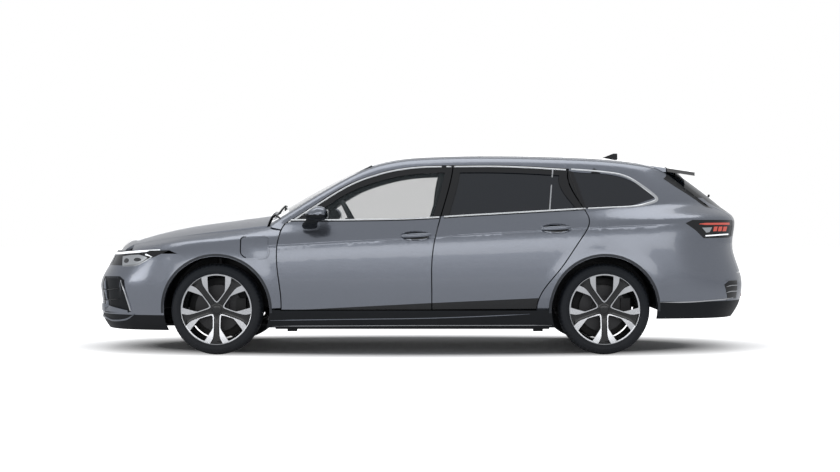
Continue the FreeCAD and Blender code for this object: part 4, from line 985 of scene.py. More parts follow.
dress("rear_quarters", quarter_material, None, region_planes(QUARTER_LOOP[:9]))
dress("front_fenders", lambda center, normal: PAINTED)
dress("sills", lambda center, normal: GRAINED, crease=False)


REAR_TRIM_TOP = 0.392
FRONT_TRIM_TOP = 0.292


def rear_bumper_material(center, normal):
    """Grained trim low down, paint above."""
    return GRAINED if center.z < REAR_TRIM_TOP else PAINTED


def front_bumper_material(center, normal):
    """Grained trim low down, paint above."""
    return GRAINED if center.z < FRONT_TRIM_TOP and center.x < -1.2 else PAINTED


def level_plane(z):
    """A level cutting plane."""
    return Vector((0, 0, z)), Vector((0, 0, 1))


dress("rear_bumper", rear_bumper_material, planes=[level_plane(REAR_TRIM_TOP)], crease=False)
dress("front_bumper", front_bumper_material, planes=[level_plane(FRONT_TRIM_TOP)], crease=False)

# Trims along the windows, handles, mirrors and the small parts of the body


def from_photo(points):
    """(x, z) on the left skin for photo positions, with the skin's own distance from the camera."""
    placed = []
    for u, v in points:
        y = -0.88
        for _ in range(3):
            x, z = at(u, v, y)
            place, _ = on_side(x, z)
            if place is not None:
                y = place.y
        placed.append((x, z))
    return placed


def clipped(points, x_low, x_high, spacing=0.012, closed=False):
    """Even points of a smooth line through (x, z) points, kept between two stations."""
    line = even_line(smooth_line(points, 8, closed), spacing)
    return [(p.x, p.y) for p in line if x_low <= p.x <= x_high]


CHROME_STRIP = [(0.0058, -0.004), (0.0060, 0.0015), (0.0045, 0.0040), (0.0015, 0.0052), (-0.0025, 0.0050),
                (-0.0050, 0.0035), (-0.0060, 0.0010), (-0.0058, -0.004)]
SEAL_STRIP = [(0.0030, -0.003), (0.0030, 0.0012), (0.0, 0.0022), (-0.0030, 0.0012), (-0.0030, -0.003)]

BELT_PHOTO = from_photo([(286, 220.2), (300, 219.9), (320, 220.1), (360, 219.7), (400, 219.0), (430, 217.7),
                         (460, 215.7), (500, 213.4), (540, 211.1), (586, 208.5), (610, 207.4), (634, 206.0)])
TOP_PHOTO = from_photo([(294.5, 218.6), (306, 211.2), (321, 201.6), (335, 192.8), (349, 184.9), (362, 179.2),
                        (375, 174.9), (388, 171.3), (400, 169.0), (413, 167.3), (430, 166.2), (460, 165.9),
                        (496, 165.8), (530, 167.0), (552, 168.3), (575, 169.7), (594, 171.0), (612, 173.0)])
SEGMENTS = [("front_door_left", -0.975, 0.118), ("rear_door_left", 0.155, 1.196)]
for body, x_low, x_high in SEGMENTS:
    line = clipped(BELT_PHOTO, x_low, x_high + 0.012)
    side_strip(f"belt_chrome_{body[:-5]}", line, CHROME_STRIP, body, CHROME, 0.012, steps=0)
    below = [(x, z - 0.0085) for x, z in line]
    side_strip(f"belt_seal_{body[:-5]}", below, SEAL_STRIP, body, RUBBER_SEAL, 0.016, steps=0)
for body, x_low, x_high in (("front_door_left", -0.945, 0.150), ("rear_door_left", 0.172, 1.075)):
    line = [(x + 0.002, z - 0.006) for x, z in clipped(TOP_PHOTO, x_low, x_high)]
    side_strip(f"window_chrome_{body[:-5]}", line, CHROME_STRIP, body, CHROME, 0.012, steps=0)
    above = [(x - 0.003, z + 0.0088) for x, z in line]
    side_strip(f"window_seal_{body[:-5]}", above, SEAL_STRIP, body, RUBBER_SEAL, 0.016, steps=0)

LOOP_PHOTO = from_photo([(571, 169.4), (594, 171.0), (612, 173.0), (622, 175.2), (632, 179.4), (642, 186.0),
                         (650, 192.0), (655.5, 196.6), (656.8, 199.2), (654.5, 201.3), (648, 203.4),
                         (639, 205.6), (625, 206.9), (608, 207.6), (588, 208.6)])
loop_widths = [(0.0, 1.0), (0.22, 1.0), (0.36, 1.5), (0.47, 2.0), (0.56, 1.9), (0.64, 1.6), (0.74, 1.1),
               (1.0, 1.0)]
side_strip("quarter_chrome", LOOP_PHOTO, CHROME_STRIP, "body", CHROME, 0.010, loop_widths)

# The light divider in the rear door's window and the seal along that door's rear edge
for name, first, last, body, width, material in (
        ("rear_window_divider", (552.7, 169.5), (549.7, 209.7), "rear_door_left", 0.010, BRIGHT_RAIL),
        ("rear_door_edge_seal", (568.2, 170.6), (582.4, 207.6), "rear_door_left", 0.010, RUBBER_SEAL)):
    ends = from_photo([first, last])
    places = []
    for i in range(15):
        x = ends[0][0] + (ends[1][0] - ends[0][0]) * i / 14
        z = ends[0][1] + (ends[1][1] - ends[0][1]) * i / 14
        place, normal = on_side(x, z)
        if place is not None:
            places.append((place, normal))
    pair(name, strip_mesh(places, flat_profile(width, 0.0025, sink=0.006)), body, material)

# Flush roof rails
RAIL_FRONT = -0.36
RAIL_LENGTH = 2.10
RAIL_SIDE = 0.572


def on_roof(x, y, tree):
    """The highest point at (x, y) and its upward direction."""
    place, normal, _, _ = tree.ray_cast(Vector((x, y, 3.0)), Vector((0, 0, -1)))
    if place is None:
        return None, None
    return place, normal if normal.z > 0 else -normal


ROOF = tree_of(["roof_rails", "roof_panel", "tailgate", "windscreen", "hood", "cowl", "front_fenders",
                "front_bumper"])
for side in (-1, 1):
    places = []
    for i in range(121):
        place, normal = on_roof(RAIL_FRONT + RAIL_LENGTH * i / 120, side * RAIL_SIDE, ROOF)
        if place is not None:
            places.append((place, normal))
    count = len(places) - 1
    widths = [min(1.0, 0.25 + 7.5 * min(i, count - i) / count) for i in range(count + 1)]
    rail = strip_mesh(places, both_sides([(0.013, -0.004), (0.0135, 0.002), (0.011, 0.0052),
                                          (0.004, 0.0064)]), widths)
    piece = finished(f"roof_rail_{'left' if side < 0 else 'right'}", rail, "body", BRIGHT_RAIL)
    sharpen(piece, 40)


# Door handles: a painted bar over the pressed cup


def handle_mesh(cx, cz, slope):
    """A rounded bar that rises out of the skin and back into it."""
    rings = []
    stations = 29
    for i in range(stations):
        t = i / (stations - 1) * 2 - 1
        x = cx + t * 0.112
        z = cz + slope * t * 0.112
        place, normal = on_side(x, z)
        round_end = max(1 - abs(t) ** 3.2, 0.0)
        high = 0.0065 + 0.0085 * round_end
        out = -0.006 + 0.020 * round_end ** 0.7
        thick = 0.0075 + 0.0035 * round_end
        ring = []
        for k in range(18):
            a = 2 * math.pi * k / 18
            c, s = math.cos(a), math.sin(a)
            across = math.copysign(abs(s) ** 0.75, s) * high
            outward = math.copysign(abs(c) ** 0.75, c) * thick
            ring.append(Vector((x, place.y, z)) + Vector((0, 0, 1)) * across
                        + Vector((0, -1, 0)) * (out + outward))
        rings.append(ring)
    return mesh_of(*loft(rings))


for door, (cx, cz) in HANDLES.items():
    pair(f"{door}_handle", handle_mesh(cx, cz + 0.004, 0.055), f"{door}_left", PAINT)


# Mirrors: a painted cap over a black housing on a black foot


def superellipse(count, half_x, half_z, power):
    """Points of a rounded rectangle round the origin."""
    ring = []
    for k in range(count):
        a = 2 * math.pi * k / count
        c, s = math.cos(a), math.sin(a)
        ring.append((math.copysign(abs(c) ** (2 / power), c) * half_x,
                     math.copysign(abs(s) ** (2 / power), s) * half_z))
    return ring


def mirror_meshes():
    """Housing lofted outwards along Y from the car; its upper faces are the painted cap."""
    rings = []
    stations = [(-0.879, 0.60, 0.55, 0.0), (-0.884, 0.80, 0.78, 0.0), (-0.895, 0.93, 0.90, 0.0),
                (-0.915, 0.99, 0.97, -0.001), (-0.950, 1.0, 1.0, -0.002), (-0.990, 0.97, 0.97, 0.0),
                (-1.025, 0.88, 0.88, 0.003), (-1.048, 0.72, 0.70, 0.007), (-1.060, 0.48, 0.45, 0.011),
                (-1.064, 0.20, 0.20, 0.014)]
    for y, wide, tall, lean in stations:
        ring = []
        for dx, dz in superellipse(36, 1.0, 1.0, 2.7):
            half_x = 0.084 * wide
            half_z = 0.055 * tall
            taper = 1.0 - 0.42 * max(-dx, 0.0)
            x = -0.766 + dx * half_x + lean
            z = 1.036 + dz * half_z * taper - 0.012 * max(-dx, 0) * wide
            if dx > 0.75:
                x -= (dx - 0.75) * 0.02
            ring.append(Vector((x, y, z)))
        rings.append(ring)
    vertices, faces = loft(rings)
    indices = []
    for face in faces:
        center = sum((vertices[i] for i in face), Vector()) / len(face)
        indices.append(0 if center.z > 1.030 and center.x < -0.690 and center.y < -0.889 else 1)
    return mesh_of(vertices, faces, indices)


housing = mirror_meshes()
foot_rings = []
for y, x_mid, z_mid, half_x, half_z in ((-0.868, -0.822, 0.948, 0.056, 0.026),
                                        (-0.890, -0.822, 0.950, 0.053, 0.024),
                                        (-0.915, -0.812, 0.962, 0.048, 0.024),
                                        (-0.940, -0.798, 0.984, 0.044, 0.026),
                                        (-0.962, -0.786, 1.006, 0.040, 0.026)):
    foot_rings.append([Vector((x_mid + dx, y, z_mid + dz))
                       for dx, dz in superellipse(24, half_x, half_z, 3.0)])
foot = mesh_of(*loft(foot_rings))
glass_rings = []
for inset, depth in ((0.0, 0.0005), (0.10, 0.003)):
    glass_rings.append([Vector((-0.685 + depth, -0.968 + dx * (1 - inset), 1.033 + dz * (1 - inset)))
                        for dx, dz in superellipse(36, 0.070, 0.038, 3.2)])
mirror_glass = mesh_of(*loft(glass_rings))
for side in ("left", "right"):
    body = f"front_door_{side}"
    turn = flipped if side == "right" else lambda mesh: mesh.copy()
    shell = finished(f"mirror_housing_{side}", turn(housing), body, [PAINT, BLACK_TRIM])
    sharpen(shell, 40)
    arm = finished(f"mirror_foot_{side}", turn(foot), body, BLACK_TRIM)
    sharpen(arm, 50)
    pane = finished(f"mirror_glass_{side}", turn(mirror_glass), body, CHROME)
    sharpen(pane, 30)
    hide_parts(f"mirror_{side}")


# Lamps, grilles and the two ends of the car


class EndSkin:
    """A closed copy of an end's outer skin on a grid of angle and height, with holes bridged."""

    def __init__(self, core_x, angles, heights, names):
        self.core_x = core_x
        self.angles = angles
        self.heights = heights
        tree = tree_of(names)
        self.reach = []
        for angle in angles:
            direction = Vector((math.cos(angle), math.sin(angle), 0))
            column = []
            for z in heights:
                start = Vector((core_x, 0, z)) + direction * 3.0
                place, _, _, distance = tree.ray_cast(start, -direction)
                column.append(3.0 - distance if place is not None else None)
            self.reach.append(self.bridged(column))
        points = [[self.place(a, z) for z in heights] for a in angles]
        vertices, faces = [], []
        for row in points:
            vertices += row
        count = len(heights)
        for i in range(len(angles) - 1):
            for j in range(count - 1):
                a = i * count + j
                faces.append((a, a + 1, a + count + 1, a + count))
        self.tree = BVHTree.FromPolygons(vertices, faces)

    def bridged(self, column):
        """Drops values that lie deep in a hole and fills them from the ones above and below."""
        good = []
        for j, value in enumerate(column):
            if value is None:
                continue
            near = [column[k] for k in range(max(0, j - 9), min(len(column), j + 10))
                    if column[k] is not None]
            if value > max(near) - 0.055:
                good.append(j)
        filled = []
        for j in range(len(column)):
            below = max((g for g in good if g <= j), default=good[0])
            above = min((g for g in good if g >= j), default=good[-1])
            share = (j - below) / (above - below) if above > below else 0.0
            share = min(max(share, 0.0), 1.0)
            filled.append(column[below] + (column[above] - column[below]) * share)
        return filled

    def radius(self, angle, z):
        """The skin's distance from the core, between the grid's points."""
        step_a = self.angles[1] - self.angles[0]
        step_z = self.heights[1] - self.heights[0]
        i = min(max((angle - self.angles[0]) / step_a, 0.0), len(self.angles) - 1.001)
        j = min(max((z - self.heights[0]) / step_z, 0.0), len(self.heights) - 1.001)
        a, b = int(i), int(j)
        s, t = i - a, j - b
        low = self.reach[a][b] * (1 - s) + self.reach[a + 1][b] * s
        high = self.reach[a][b + 1] * (1 - s) + self.reach[a + 1][b + 1] * s
        return low * (1 - t) + high * t

    def place(self, angle, z):
        """The skin's point at an angle and height."""
        reach = self.radius(angle, z)
        return Vector((self.core_x + reach * math.cos(angle), reach * math.sin(angle), z))

    def normal(self, angle, z):
        """The skin's outward direction at an angle and height."""
        d = 0.012
        across = self.place(angle + d, z) - self.place(angle - d, z)
        up = self.place(angle, z + d) - self.place(angle, z - d)
        normal = across.cross(up).normalized()
        outward = Vector((math.cos(angle), math.sin(angle), 0))
        return normal if normal.dot(outward) > 0 else -normal

    def seen(self, u, v):
        """(angle, height) where the photo's line of sight through a pixel meets the skin."""
        start = Vector((CAMERA_X, -CAMERA_DISTANCE, CAMERA_HEIGHT))
        sight = Vector(((u - PHOTO_MIDDLE) / FOCAL_PIXELS, 1.0,
                        (PHOTO_HORIZON - v) / FOCAL_PIXELS)).normalized()
        place, _, _, _ = self.tree.ray_cast(start, sight)
        if place is None:
            place, _, _, _ = self.tree.find_nearest(start + sight * 11.3)
        angle = math.atan2(place.y, place.x - self.core_x)
        if angle < self.angles[0]:
            angle += 2 * math.pi
        return angle, place.z

    def patch(self, name, outline, material, lift=0.0015, thickness=0.004, spacing=0.016, body="body"):
        """A cover on the skin with an (angle, height) outline."""
        scale = 0.95
        work = outline_fill([(a * scale, z) for a, z in outline], spacing)
        back = {}
        for vertex in work.verts:
            angle, z = vertex.co.x / scale, vertex.co.z
            vertex.co = self.place(angle, z) + self.normal(angle, z) * lift
            back[tuple(round(c, 6) for c in vertex.co)] = self.normal(angle, z) * -thickness
        extruded = bmesh.ops.extrude_face_region(work, geom=list(work.faces))
        for item in extruded["geom"]:
            if isinstance(item, bmesh.types.BMVert):
                item.co += back[tuple(round(c, 6) for c in item.co)]
        bmesh.ops.recalc_face_normals(work, faces=work.faces)
        mesh = bpy.data.meshes.new(name)
        work.to_mesh(mesh)
        work.free()
        return pair(name, mesh, body, material)

    def strip(self, name, line, profile, material, widths=None, body="body", spacing=0.012, steps=6):
        """A swept strip on the skin through (angle, height) points."""
        flat = even_line(smooth_line(line, steps), spacing)
        places = [(self.place(p.x, p.y), self.normal(p.x, p.y)) for p in flat]
        if widths:
            count = len(places) - 1
            widths = [smooth_widths(widths, i / count) for i in range(count + 1)]
        return pair(name, strip_mesh(places, profile, widths), body, material)


def degrees_range(low, high, count):
    """Even angles between two, given in degrees."""
    return [math.radians(low + (high - low) * i / (count - 1)) for i in range(count)]


def even_range(low, high, count):
    """Even values between two."""
    return [low + (high - low) * i / (count - 1) for i in range(count)]


NOSE = EndSkin(-1.300, degrees_range(176, 262, 87), even_range(0.180, 0.840, 67),
               ["front_bumper", "headlamps", "front_fenders", "hood"])
TAIL = EndSkin(1.500, degrees_range(-92, 4, 97), even_range(0.270, 1.100, 84),
               ["rear_bumper", "tail_lamps", "rear_quarters", "tailgate", "tailgate_lamps"])


def nose(*pixels):
    """(angle, height) places on the nose for photo positions."""
    return [NOSE.seen(u, v) for u, v in pixels]


def rear(*pixels):
    """(angle, height) places on the tail for photo positions."""
    return [TAIL.seen(u, v) for u, v in pixels]


def around(*corners):
    """(angle, height) places from degrees and heights."""
    return [(math.radians(degrees), z) for degrees, z in corners]


def oval(center, wide, tall):
    """An (angle, height) outline round a place."""
    return [(center[0] + wide * math.cos(t), center[1] + tall * math.sin(t))
            for t in degrees_range(0, 345, 24)]


DAY_LAMP = principled("day_lamp_white", (0.9, 0.92, 0.95), 0.3, 0.0, Emission_Strength=0.85,
                      Emission_Color=(0.95, 0.98, 1.0, 1.0))
add_grain(DAY_LAMP, 60, 0.0, color_shift=0.04)
REFLECTOR = add_grain(principled("lamp_reflector", (0.58, 0.60, 0.62), 0.22, 0.9, Coat_Weight=0.6), 120, 0.05)
SMOKED = add_grain(principled("smoked_lens", (0.030, 0.033, 0.037), 0.08, 0.0, Coat_Weight=1.0), 80, 0.02)
RED_GLOW = principled("lit_red_lens", (0.62, 0.07, 0.05), 0.18, 0.0, Emission_Strength=0.35,
                      Emission_Color=(0.85, 0.16, 0.11, 1.0), Coat_Weight=0.6)
add_grain(RED_GLOW, 70, 0.05)

# Head lamps

dress("headlamps", lambda center, normal: GLOSSED, crease=False)
front_edge = math.radians(206.3)
bar = nose((119.5, 253.1), (130, 252.2), (145, 251.0), (160, 249.9))
NOSE.strip("day_lamp", [(front_edge, bar[0][1] - 0.001)] + bar,
           both_sides([(0.0085, -0.002), (0.0085, 0.003), (0.006, 0.0048)]), DAY_LAMP,
           widths=[(0.0, 1.0), (0.8, 0.95), (1.0, 0.30)])
module = nose((123, 256.3), (131, 255.0), (139, 254.6), (145, 256.3), (147.5, 257.8), (142, 261.8),
              (136.5, 264.6), (122.5, 265.4))
NOSE.patch("lamp_reflector", module, REFLECTOR, lift=0.0022, spacing=0.02)
for number, (u, v, wide, tall) in enumerate(((126.5, 260.6, 0.020, 0.017), (137.5, 259.6, 0.026, 0.013))):
    ring = oval(NOSE.seen(u, v), wide, tall)
    NOSE.patch(f"lamp_projector_{number}", ring, SMOKED, lift=0.0050, thickness=0.005,
               spacing=0.03)
NOSE.strip("lamp_lower_line", nose((122.8, 266.0), (130, 265.9), (137, 265.2), (143, 262.2), (150, 258.2),
           (152.5, 256.4)), both_sides([(0.0035, 0.0), (0.0030, 0.0042)]), REFLECTOR)
NOSE.strip("lamp_arrow", nose((145.6, 254.4), (148.6, 255.4), (151.6, 256.7)),
           both_sides([(0.006, 0.0), (0.005, 0.0045)]), DAY_LAMP, widths=[(0, 1.0), (1, 0.3)])
inner = [(front_edge, 0.672), (front_edge, 0.728)] + around((210.5, 0.726), (210.5, 0.668))
NOSE.patch("lamp_inner_reflector", inner, SMOKED, lift=0.0022)

# Grille, intakes and the black parts of the nose

NOSE.strip("front_light_line", around((180, 0.738), (193, 0.738)) + [(front_edge - 0.006, 0.739)],
           both_sides([(0.004, -0.002), (0.004, 0.002)]), DAY_LAMP)
NOSE.patch("upper_grille_bar", around((179.9, 0.700), (179.9, 0.728)) + [(front_edge - 0.008, 0.730),
           (front_edge - 0.008, 0.655)] + around((203, 0.700)), GLOSS_BLACK, lift=0.0012)
NOSE.patch("grille_screen", around((179.9, 0.515), (179.9, 0.694), (199.6, 0.694), (199.6, 0.515)),
           BLACK_TRIM, lift=-0.034, thickness=0.002)
corner = nose((107.6, 276.2), (120.0, 276.2), (124.2, 280.0), (127.4, 297.0), (130.6, 311.8), (108.0, 312.5))
NOSE.patch("corner_intake", corner + around((209, corner[-1][1]), (209, corner[0][1])),
           BLACK_TRIM, lift=0.0008, thickness=0.030, spacing=0.02)
NOSE.patch("middle_intake", around((179.9, 0.285), (179.9, 0.405), (205, 0.405), (209, 0.385), (209, 0.285)),
           BLACK_TRIM, lift=-0.030, thickness=0.002)
FIN = [(0.0045, -0.001), (0.0040, 0.008), (-0.0010, 0.0100), (-0.0045, -0.001)]
for number, v in enumerate((289.0, 299.5)):
    fin = nose((109.5, v + 0.6), (114, v), (119.5, v - 0.7))
    NOSE.strip(f"intake_fin_{number}", around((209.5, fin[0][1])) + fin, FIN, GLOSS_BLACK,
               widths=[(0.0, 1.0), (0.8, 1.0), (1.0, 0.3)])
vane = nose((121.2, 280.2), (124.2, 290.0), (127.6, 301.0), (130.4, 310.6))
NOSE.strip("intake_vane", vane, [(0.009, -0.002), (0.008, 0.010), (0.002, 0.013), (-0.008, 0.004),
                                 (-0.009, -0.002)], BRIGHT_RAIL,
           widths=[(0.0, 0.35), (0.3, 0.9), (1.0, 1.0)])
blade = nose((107.8, 303.6), (128.0, 310.0), (128.6, 312.4), (108.4, 311.0))
NOSE.patch("front_blade", blade + around((207, blade[3][1]), (207, blade[0][1])), PAINT,
           lift=0.012, thickness=0.014, spacing=0.03)
NOSE.strip("front_lip", around((180, 0.263), (200, 0.264)) + nose((106.6, 317.2), (113, 320.0),
           (126, 319.2), (134.5, 314.0)), [(0.007, -0.003), (0.006, 0.006), (0.0, 0.009), (-0.006, 0.006),
           (-0.007, -0.003)], PAINT, widths=[(0.0, 1.0), (0.9, 1.0), (1.0, 0.5)])
SENSOR_RADIUS = 0.011
NOSE.patch("parking_sensor", oval(NOSE.seen(151.5, 287), SENSOR_RADIUS, SENSOR_RADIUS), PAINT,
           lift=0.0016, spacing=0.05)
plate = [(math.radians(180) - 0.0005, 0.412), (math.radians(180) - 0.0005, 0.510),
         (math.radians(180) + 0.226, 0.510), (math.radians(180) + 0.226, 0.412)]
PLATE = add_grain(principled("blank_plate", (0.62, 0.63, 0.62), 0.35, 0.0), 200, 0.05)
NOSE.patch("front_plate_half", plate, PLATE, lift=0.0003, thickness=0.006, spacing=0.03)

# Tail lamps

dress("tail_lamps", lambda center, normal: GLOSSED, crease=False)
dress("tailgate_lamps", lambda center, normal: GLOSSED, crease=False)
TAIL.strip("red_bar", rear((699.5, 223.9), (710, 223.8), (720, 223.7), (729.0, 223.6)),
           both_sides([(0.0085, -0.002), (0.0080, 0.004)]), RED_GLOW,
           widths=[(0.0, 0.3), (0.2, 0.9), (1.0, 1.0)])
for number in range(3):
    u = 714.0 + 4.7 * number
    block = rear((u, 226.6), (u + 3.4, 226.4), (u + 2.4, 231.0), (u - 1.0, 231.2))
    TAIL.patch(f"red_block_{number}", block, RED_GLOW, lift=0.003, spacing=0.03)
TAIL.patch("clear_indicator", rear((702, 227.6), (712, 227.2), (709.5, 232.0), (706.2, 232.6)), REFLECTOR,
           lift=0.002, spacing=0.03)
TAIL.strip("reverse_lamp", rear((705.5, 235.7), (713, 235.2), (722, 234.5), (728, 234.1)),
           both_sides([(0.0048, -0.002), (0.0046, 0.003)]), DAY_LAMP)

# Black side parts of the tailgate, the sill lines of painted highlight, arch lips of painted shade, cowl,
# wipers and rear vents


WINDOW_FOOT = 1.155


def tailgate_material(center, normal):
    """Paint below the window, gloss black at the window's frame and under the spoiler."""
    framed = center.z > WINDOW_FOOT and (normal.z < 0.72 or center.z < 1.330)
    return GLOSSED if framed else PAINTED


dress("tailgate", tailgate_material, planes=[level_plane(WINDOW_FOOT)], crease=False)
QUARTER_SKIN = tree_of(["rear_quarters", "roof_rails"])
pillar = from_photo([(663.5, 178.6), (667.4, 174.6), (676, 181.4), (686, 189.2), (696, 196.8), (704.7, 203.4),
                     (712.5, 208.2), (706, 207.0), (696, 199.9), (686, 193.2), (676, 187.0)])
side_patch("pillar_trim", pillar, "body", GLOSS_BLACK, lift=0.0015, spacing=0.018,
           tree=QUARTER_SKIN)

# Painted highlights: a paint-coloured line and a bright line along the black sill, for the light caught along
# its upper and lower edges
SILL_WIDTHS = [(0.0, 0.4), (0.1, 1.0), (0.9, 1.0), (1.0, 0.4)]
sill_upper = from_photo([(270, 320.5), (340, 319.4), (420, 318.4), (480, 316.4), (530, 314)])
side_strip("sill_painted_highlight", sill_upper, flat_profile(0.0060, 0.0022), "body", PAINT,
           0.02, SILL_WIDTHS)
sill_lower = from_photo([(272, 326.2), (350, 325.8), (420, 325.5), (500, 325.4), (552, 325.3)])
side_strip("sill_edge_painted_highlight", sill_lower, flat_profile(0.0045, 0.0020), "body", BRIGHT_RAIL,
           0.02, SILL_WIDTHS)

ARCH_HEIGHT = 0.3355
ARCH = tree_of(["front_fenders", "front_bumper", "rear_quarters", "rear_bumper", "sills"])


def arch_places(axle_x, start, end, count):
    """Skin points on the rim of a wheel opening, found outwards from the axle."""
    found = []
    for i in range(count):
        angle = math.radians(start + (end - start) * i / (count - 1))
        for step in range(60):
            reach = 0.345 + step * 0.0025
            x = axle_x + reach * math.cos(angle)
            z = ARCH_HEIGHT + reach * math.sin(angle)
            place, normal, _, _ = ARCH.ray_cast(Vector((x, -2.0, z)), Vector((0, 1, 0)))
            if place is not None and place.y < -0.80 and abs(normal.y) > 0.25:
                found.append((angle, reach))
                break
    for _ in range(4):
        reaches = [r for _, r in found]
        found = [(a, (reaches[max(i - 1, 0)] + 2 * reaches[i] + reaches[min(i + 1, len(found) - 1)]) / 4)
                 for i, (a, r) in enumerate(found)]
    places = []
    for angle, reach in found:
        x = axle_x + (reach + 0.010) * math.cos(angle)
        z = ARCH_HEIGHT + (reach + 0.010) * math.sin(angle)
        place, normal = on_side(x, z, ARCH)
        if place is not None:
            places.append((place, Vector((0, -1, 0))))
    return places


# Painted shade: a dark strip of paint along the rim of each wheel opening, where the flange faces the road
ARCH_SHADE = add_grain(principled("shaded_paint_edge", (0.050, 0.054, 0.062), 0.40, 0.4), 900, 0.05)
for label, start, end in (("front", -4.0, 184.0), ("rear", -2.0, 184.0)):
    places = arch_places(AXLES[label], start, end, 110)
    lip = strip_mesh(places, [(0.011, -0.004), (0.011, 0.0012), (0.004, 0.0022), (-0.0065, 0.0016),
                              (-0.0085, -0.004)])
    pair(f"arch_lip_{label}", lip, "body", ARCH_SHADE)


# The rear bumper's vents, line, sensor, reflector and lower skin, and the plate with its screws

vent = rear((724.5, 284.5), (729, 280.6), (736.5, 280.2))
vent_low = rear((737.0, 297.4), (727.5, 298.2))
TAIL.patch("rear_vent", vent + around((-38, vent[-1][1]), (-38, vent_low[0][1])) + vent_low, GLOSS_BLACK,
           lift=0.0016, spacing=0.02)
for number, v in enumerate((279.6, 285.4, 291.2, 298.6)):
    fin = rear((726.0, v + 1.2), (730.5, v), (735.5, v - 0.3))
    TAIL.strip(f"rear_vent_fin_{number}", fin + around((-38, fin[-1][1])),
               both_sides([(0.0035, -0.001), (0.0030, 0.0065)]),
               PAINT if number in (0, 3) else BRIGHT_RAIL,
               widths=[(0.0, 0.3), (0.2, 1.0), (1.0, 1.0)])
TAIL.strip("rear_bumper_line", rear((660, 302.2), (686, 302.0), (715, 300.0), (733, 297.8)),
           both_sides([(0.0050, -0.002), (0.0040, 0.0035)]), BRIGHT_RAIL,
           widths=[(0.0, 0.2), (0.3, 1.0), (1.0, 1.0)])
TAIL.patch("rear_sensor", oval(TAIL.seen(700, 291), SENSOR_RADIUS, SENSOR_RADIUS), PAINT,
           lift=0.0016, spacing=0.05)
TAIL.patch("rear_reflector", around((-27, 0.410), (-17, 0.410), (-17, 0.432), (-27, 0.432)), RED_LENS,
           lift=0.003, thickness=0.005)
TAIL.patch("diffuser_skin", around((-24, 0.300), (0.3, 0.300), (0.3, 0.372), (-24, 0.372)), GLOSS_BLACK,
           lift=0.0022, thickness=0.004)
PLATE_FACE = 2.3822
PLATE_HOLE_SIDE = 0.089
PLATE_HOLE_HEIGHT = 0.804
plate_body = body_of_node["tailgate"]
bevelled(finished("rear_plate", box_mesh((2.3762, -0.260, 0.748), (PLATE_FACE, 0.260, 0.860)), plate_body,
                  PLATE), 0.0015)
for side in (-1, 1):
    dome = turned_mesh([(0.0001, 0.0042), (0.0030, 0.0036), (0.0046, 0.0018), (0.0050, 0.0),
                        (0.0001, 0.0)], 20)
    turned = [Vector((PLATE_FACE + y, side * PLATE_HOLE_SIDE + x, PLATE_HOLE_HEIGHT + z))
              for x, y, z in dome[0]]
    bolt = finished(f"plate_screw_{'left' if side < 0 else 'right'}", mesh_of(turned, dome[1]), plate_body,
                    CHROME)
    sharpen(bolt)

# The wipers, the cowl's corners and the light bar of the tailgate


def wiper(name, pivot, tip, tail):
    """A wiper: an arm from its pivot to the middle of the blade, and the blade from tail to tip."""
    blade = []
    for i in range(31):
        t = i / 30
        x = tail[0] + (tip[0] - tail[0]) * t
        y = tail[1] + (tip[1] - tail[1]) * t
        place, normal = on_roof(x, y, ROOF)
        if place is not None:
            blade.append((place + normal * 0.006, normal))
    profile = both_sides([(0.0045, 0.0), (0.0045, 0.008), (0.0015, 0.013)])
    sharpen(finished(name + "_blade", strip_mesh(blade, profile), "body", BLACK_TRIM))
    middle = blade[len(blade) // 2]
    start, up = on_roof(pivot[0], pivot[1], ROOF)
    arm = []
    for i in range(17):
        t = i / 16
        point = start.lerp(middle[0], t) + Vector((0, 0, 1)) * (0.010 + 0.006 * math.sin(math.pi * t))
        arm.append((point, Vector((0, 0, 1))))
    arm_profile = both_sides([(0.008, -0.004), (0.007, 0.004)])
    sharpen(finished(name + "_arm", strip_mesh(arm, arm_profile, [1.2 - 0.5 * i / 16 for i in range(17)]),
                     "body", BLACK_TRIM))
    cap = turned_mesh([(0.0001, 0.014), (0.010, 0.013), (0.014, 0.009), (0.015, 0.0), (0.0001, 0.0)], 24)
    placed = [Vector((start.x + x, start.y + z, start.z + y)) for x, y, z in cap[0]]
    sharpen(finished(name + "_pivot", mesh_of(placed, cap[1]), "body", BLACK_TRIM))


wiper("driver_wiper", (-1.095, -0.46), (-1.062, 0.08), (-1.040, -0.54))
wiper("passenger_wiper", (-1.095, 0.14), (-1.030, 0.56), (-1.066, 0.12))
cowl_ends = from_photo([(258.5, 216.6), (263, 214.9), (271, 214.7), (279, 216.2), (281, 218.8), (262, 218.6)])
side_patch("cowl_corner", cowl_ends, "body", BLACK_TRIM, lift=0.0012, spacing=0.02,
           tree=tree_of(["front_fenders", "roof_rails"]))
TAILGATE_SKIN = tree_of(["tailgate", "rear_window"])
wiper_line = []
for i in range(25):
    y = -0.03 - 0.30 * i / 24
    place, normal, _, _ = TAILGATE_SKIN.ray_cast(Vector((3.2, y, 1.150 + 0.02 * i / 24)), Vector((-1, 0, 0)))
    if place is not None:
        outward = normal if normal.x > 0 else -normal
        wiper_line.append((place + outward * 0.004, outward))
sharpen(finished("rear_wiper", strip_mesh(wiper_line,
                                          both_sides([(0.006, 0.0), (0.006, 0.010), (0.0015, 0.014)])),
                 plate_body, BLACK_TRIM))
TAIL.strip("tail_light_bar", around((-24, 0.935), (-12, 0.935), (0.3, 0.935)),
           both_sides([(0.010, -0.002), (0.009, 0.0035)]), RED_GLOW,
           body=plate_body)
TAIL.patch("tail_bar_frame", around((-24, 0.915), (0.3, 0.915), (0.3, 0.955), (-24, 0.955)), GLOSS_BLACK,
           lift=0.0010, thickness=0.003, body=plate_body)

# The black pillar behind the rear door, the shields behind the brakes, larger than real ones so that their
# dark steel stands in as painted shade behind the wheels, and the charge flap's seam


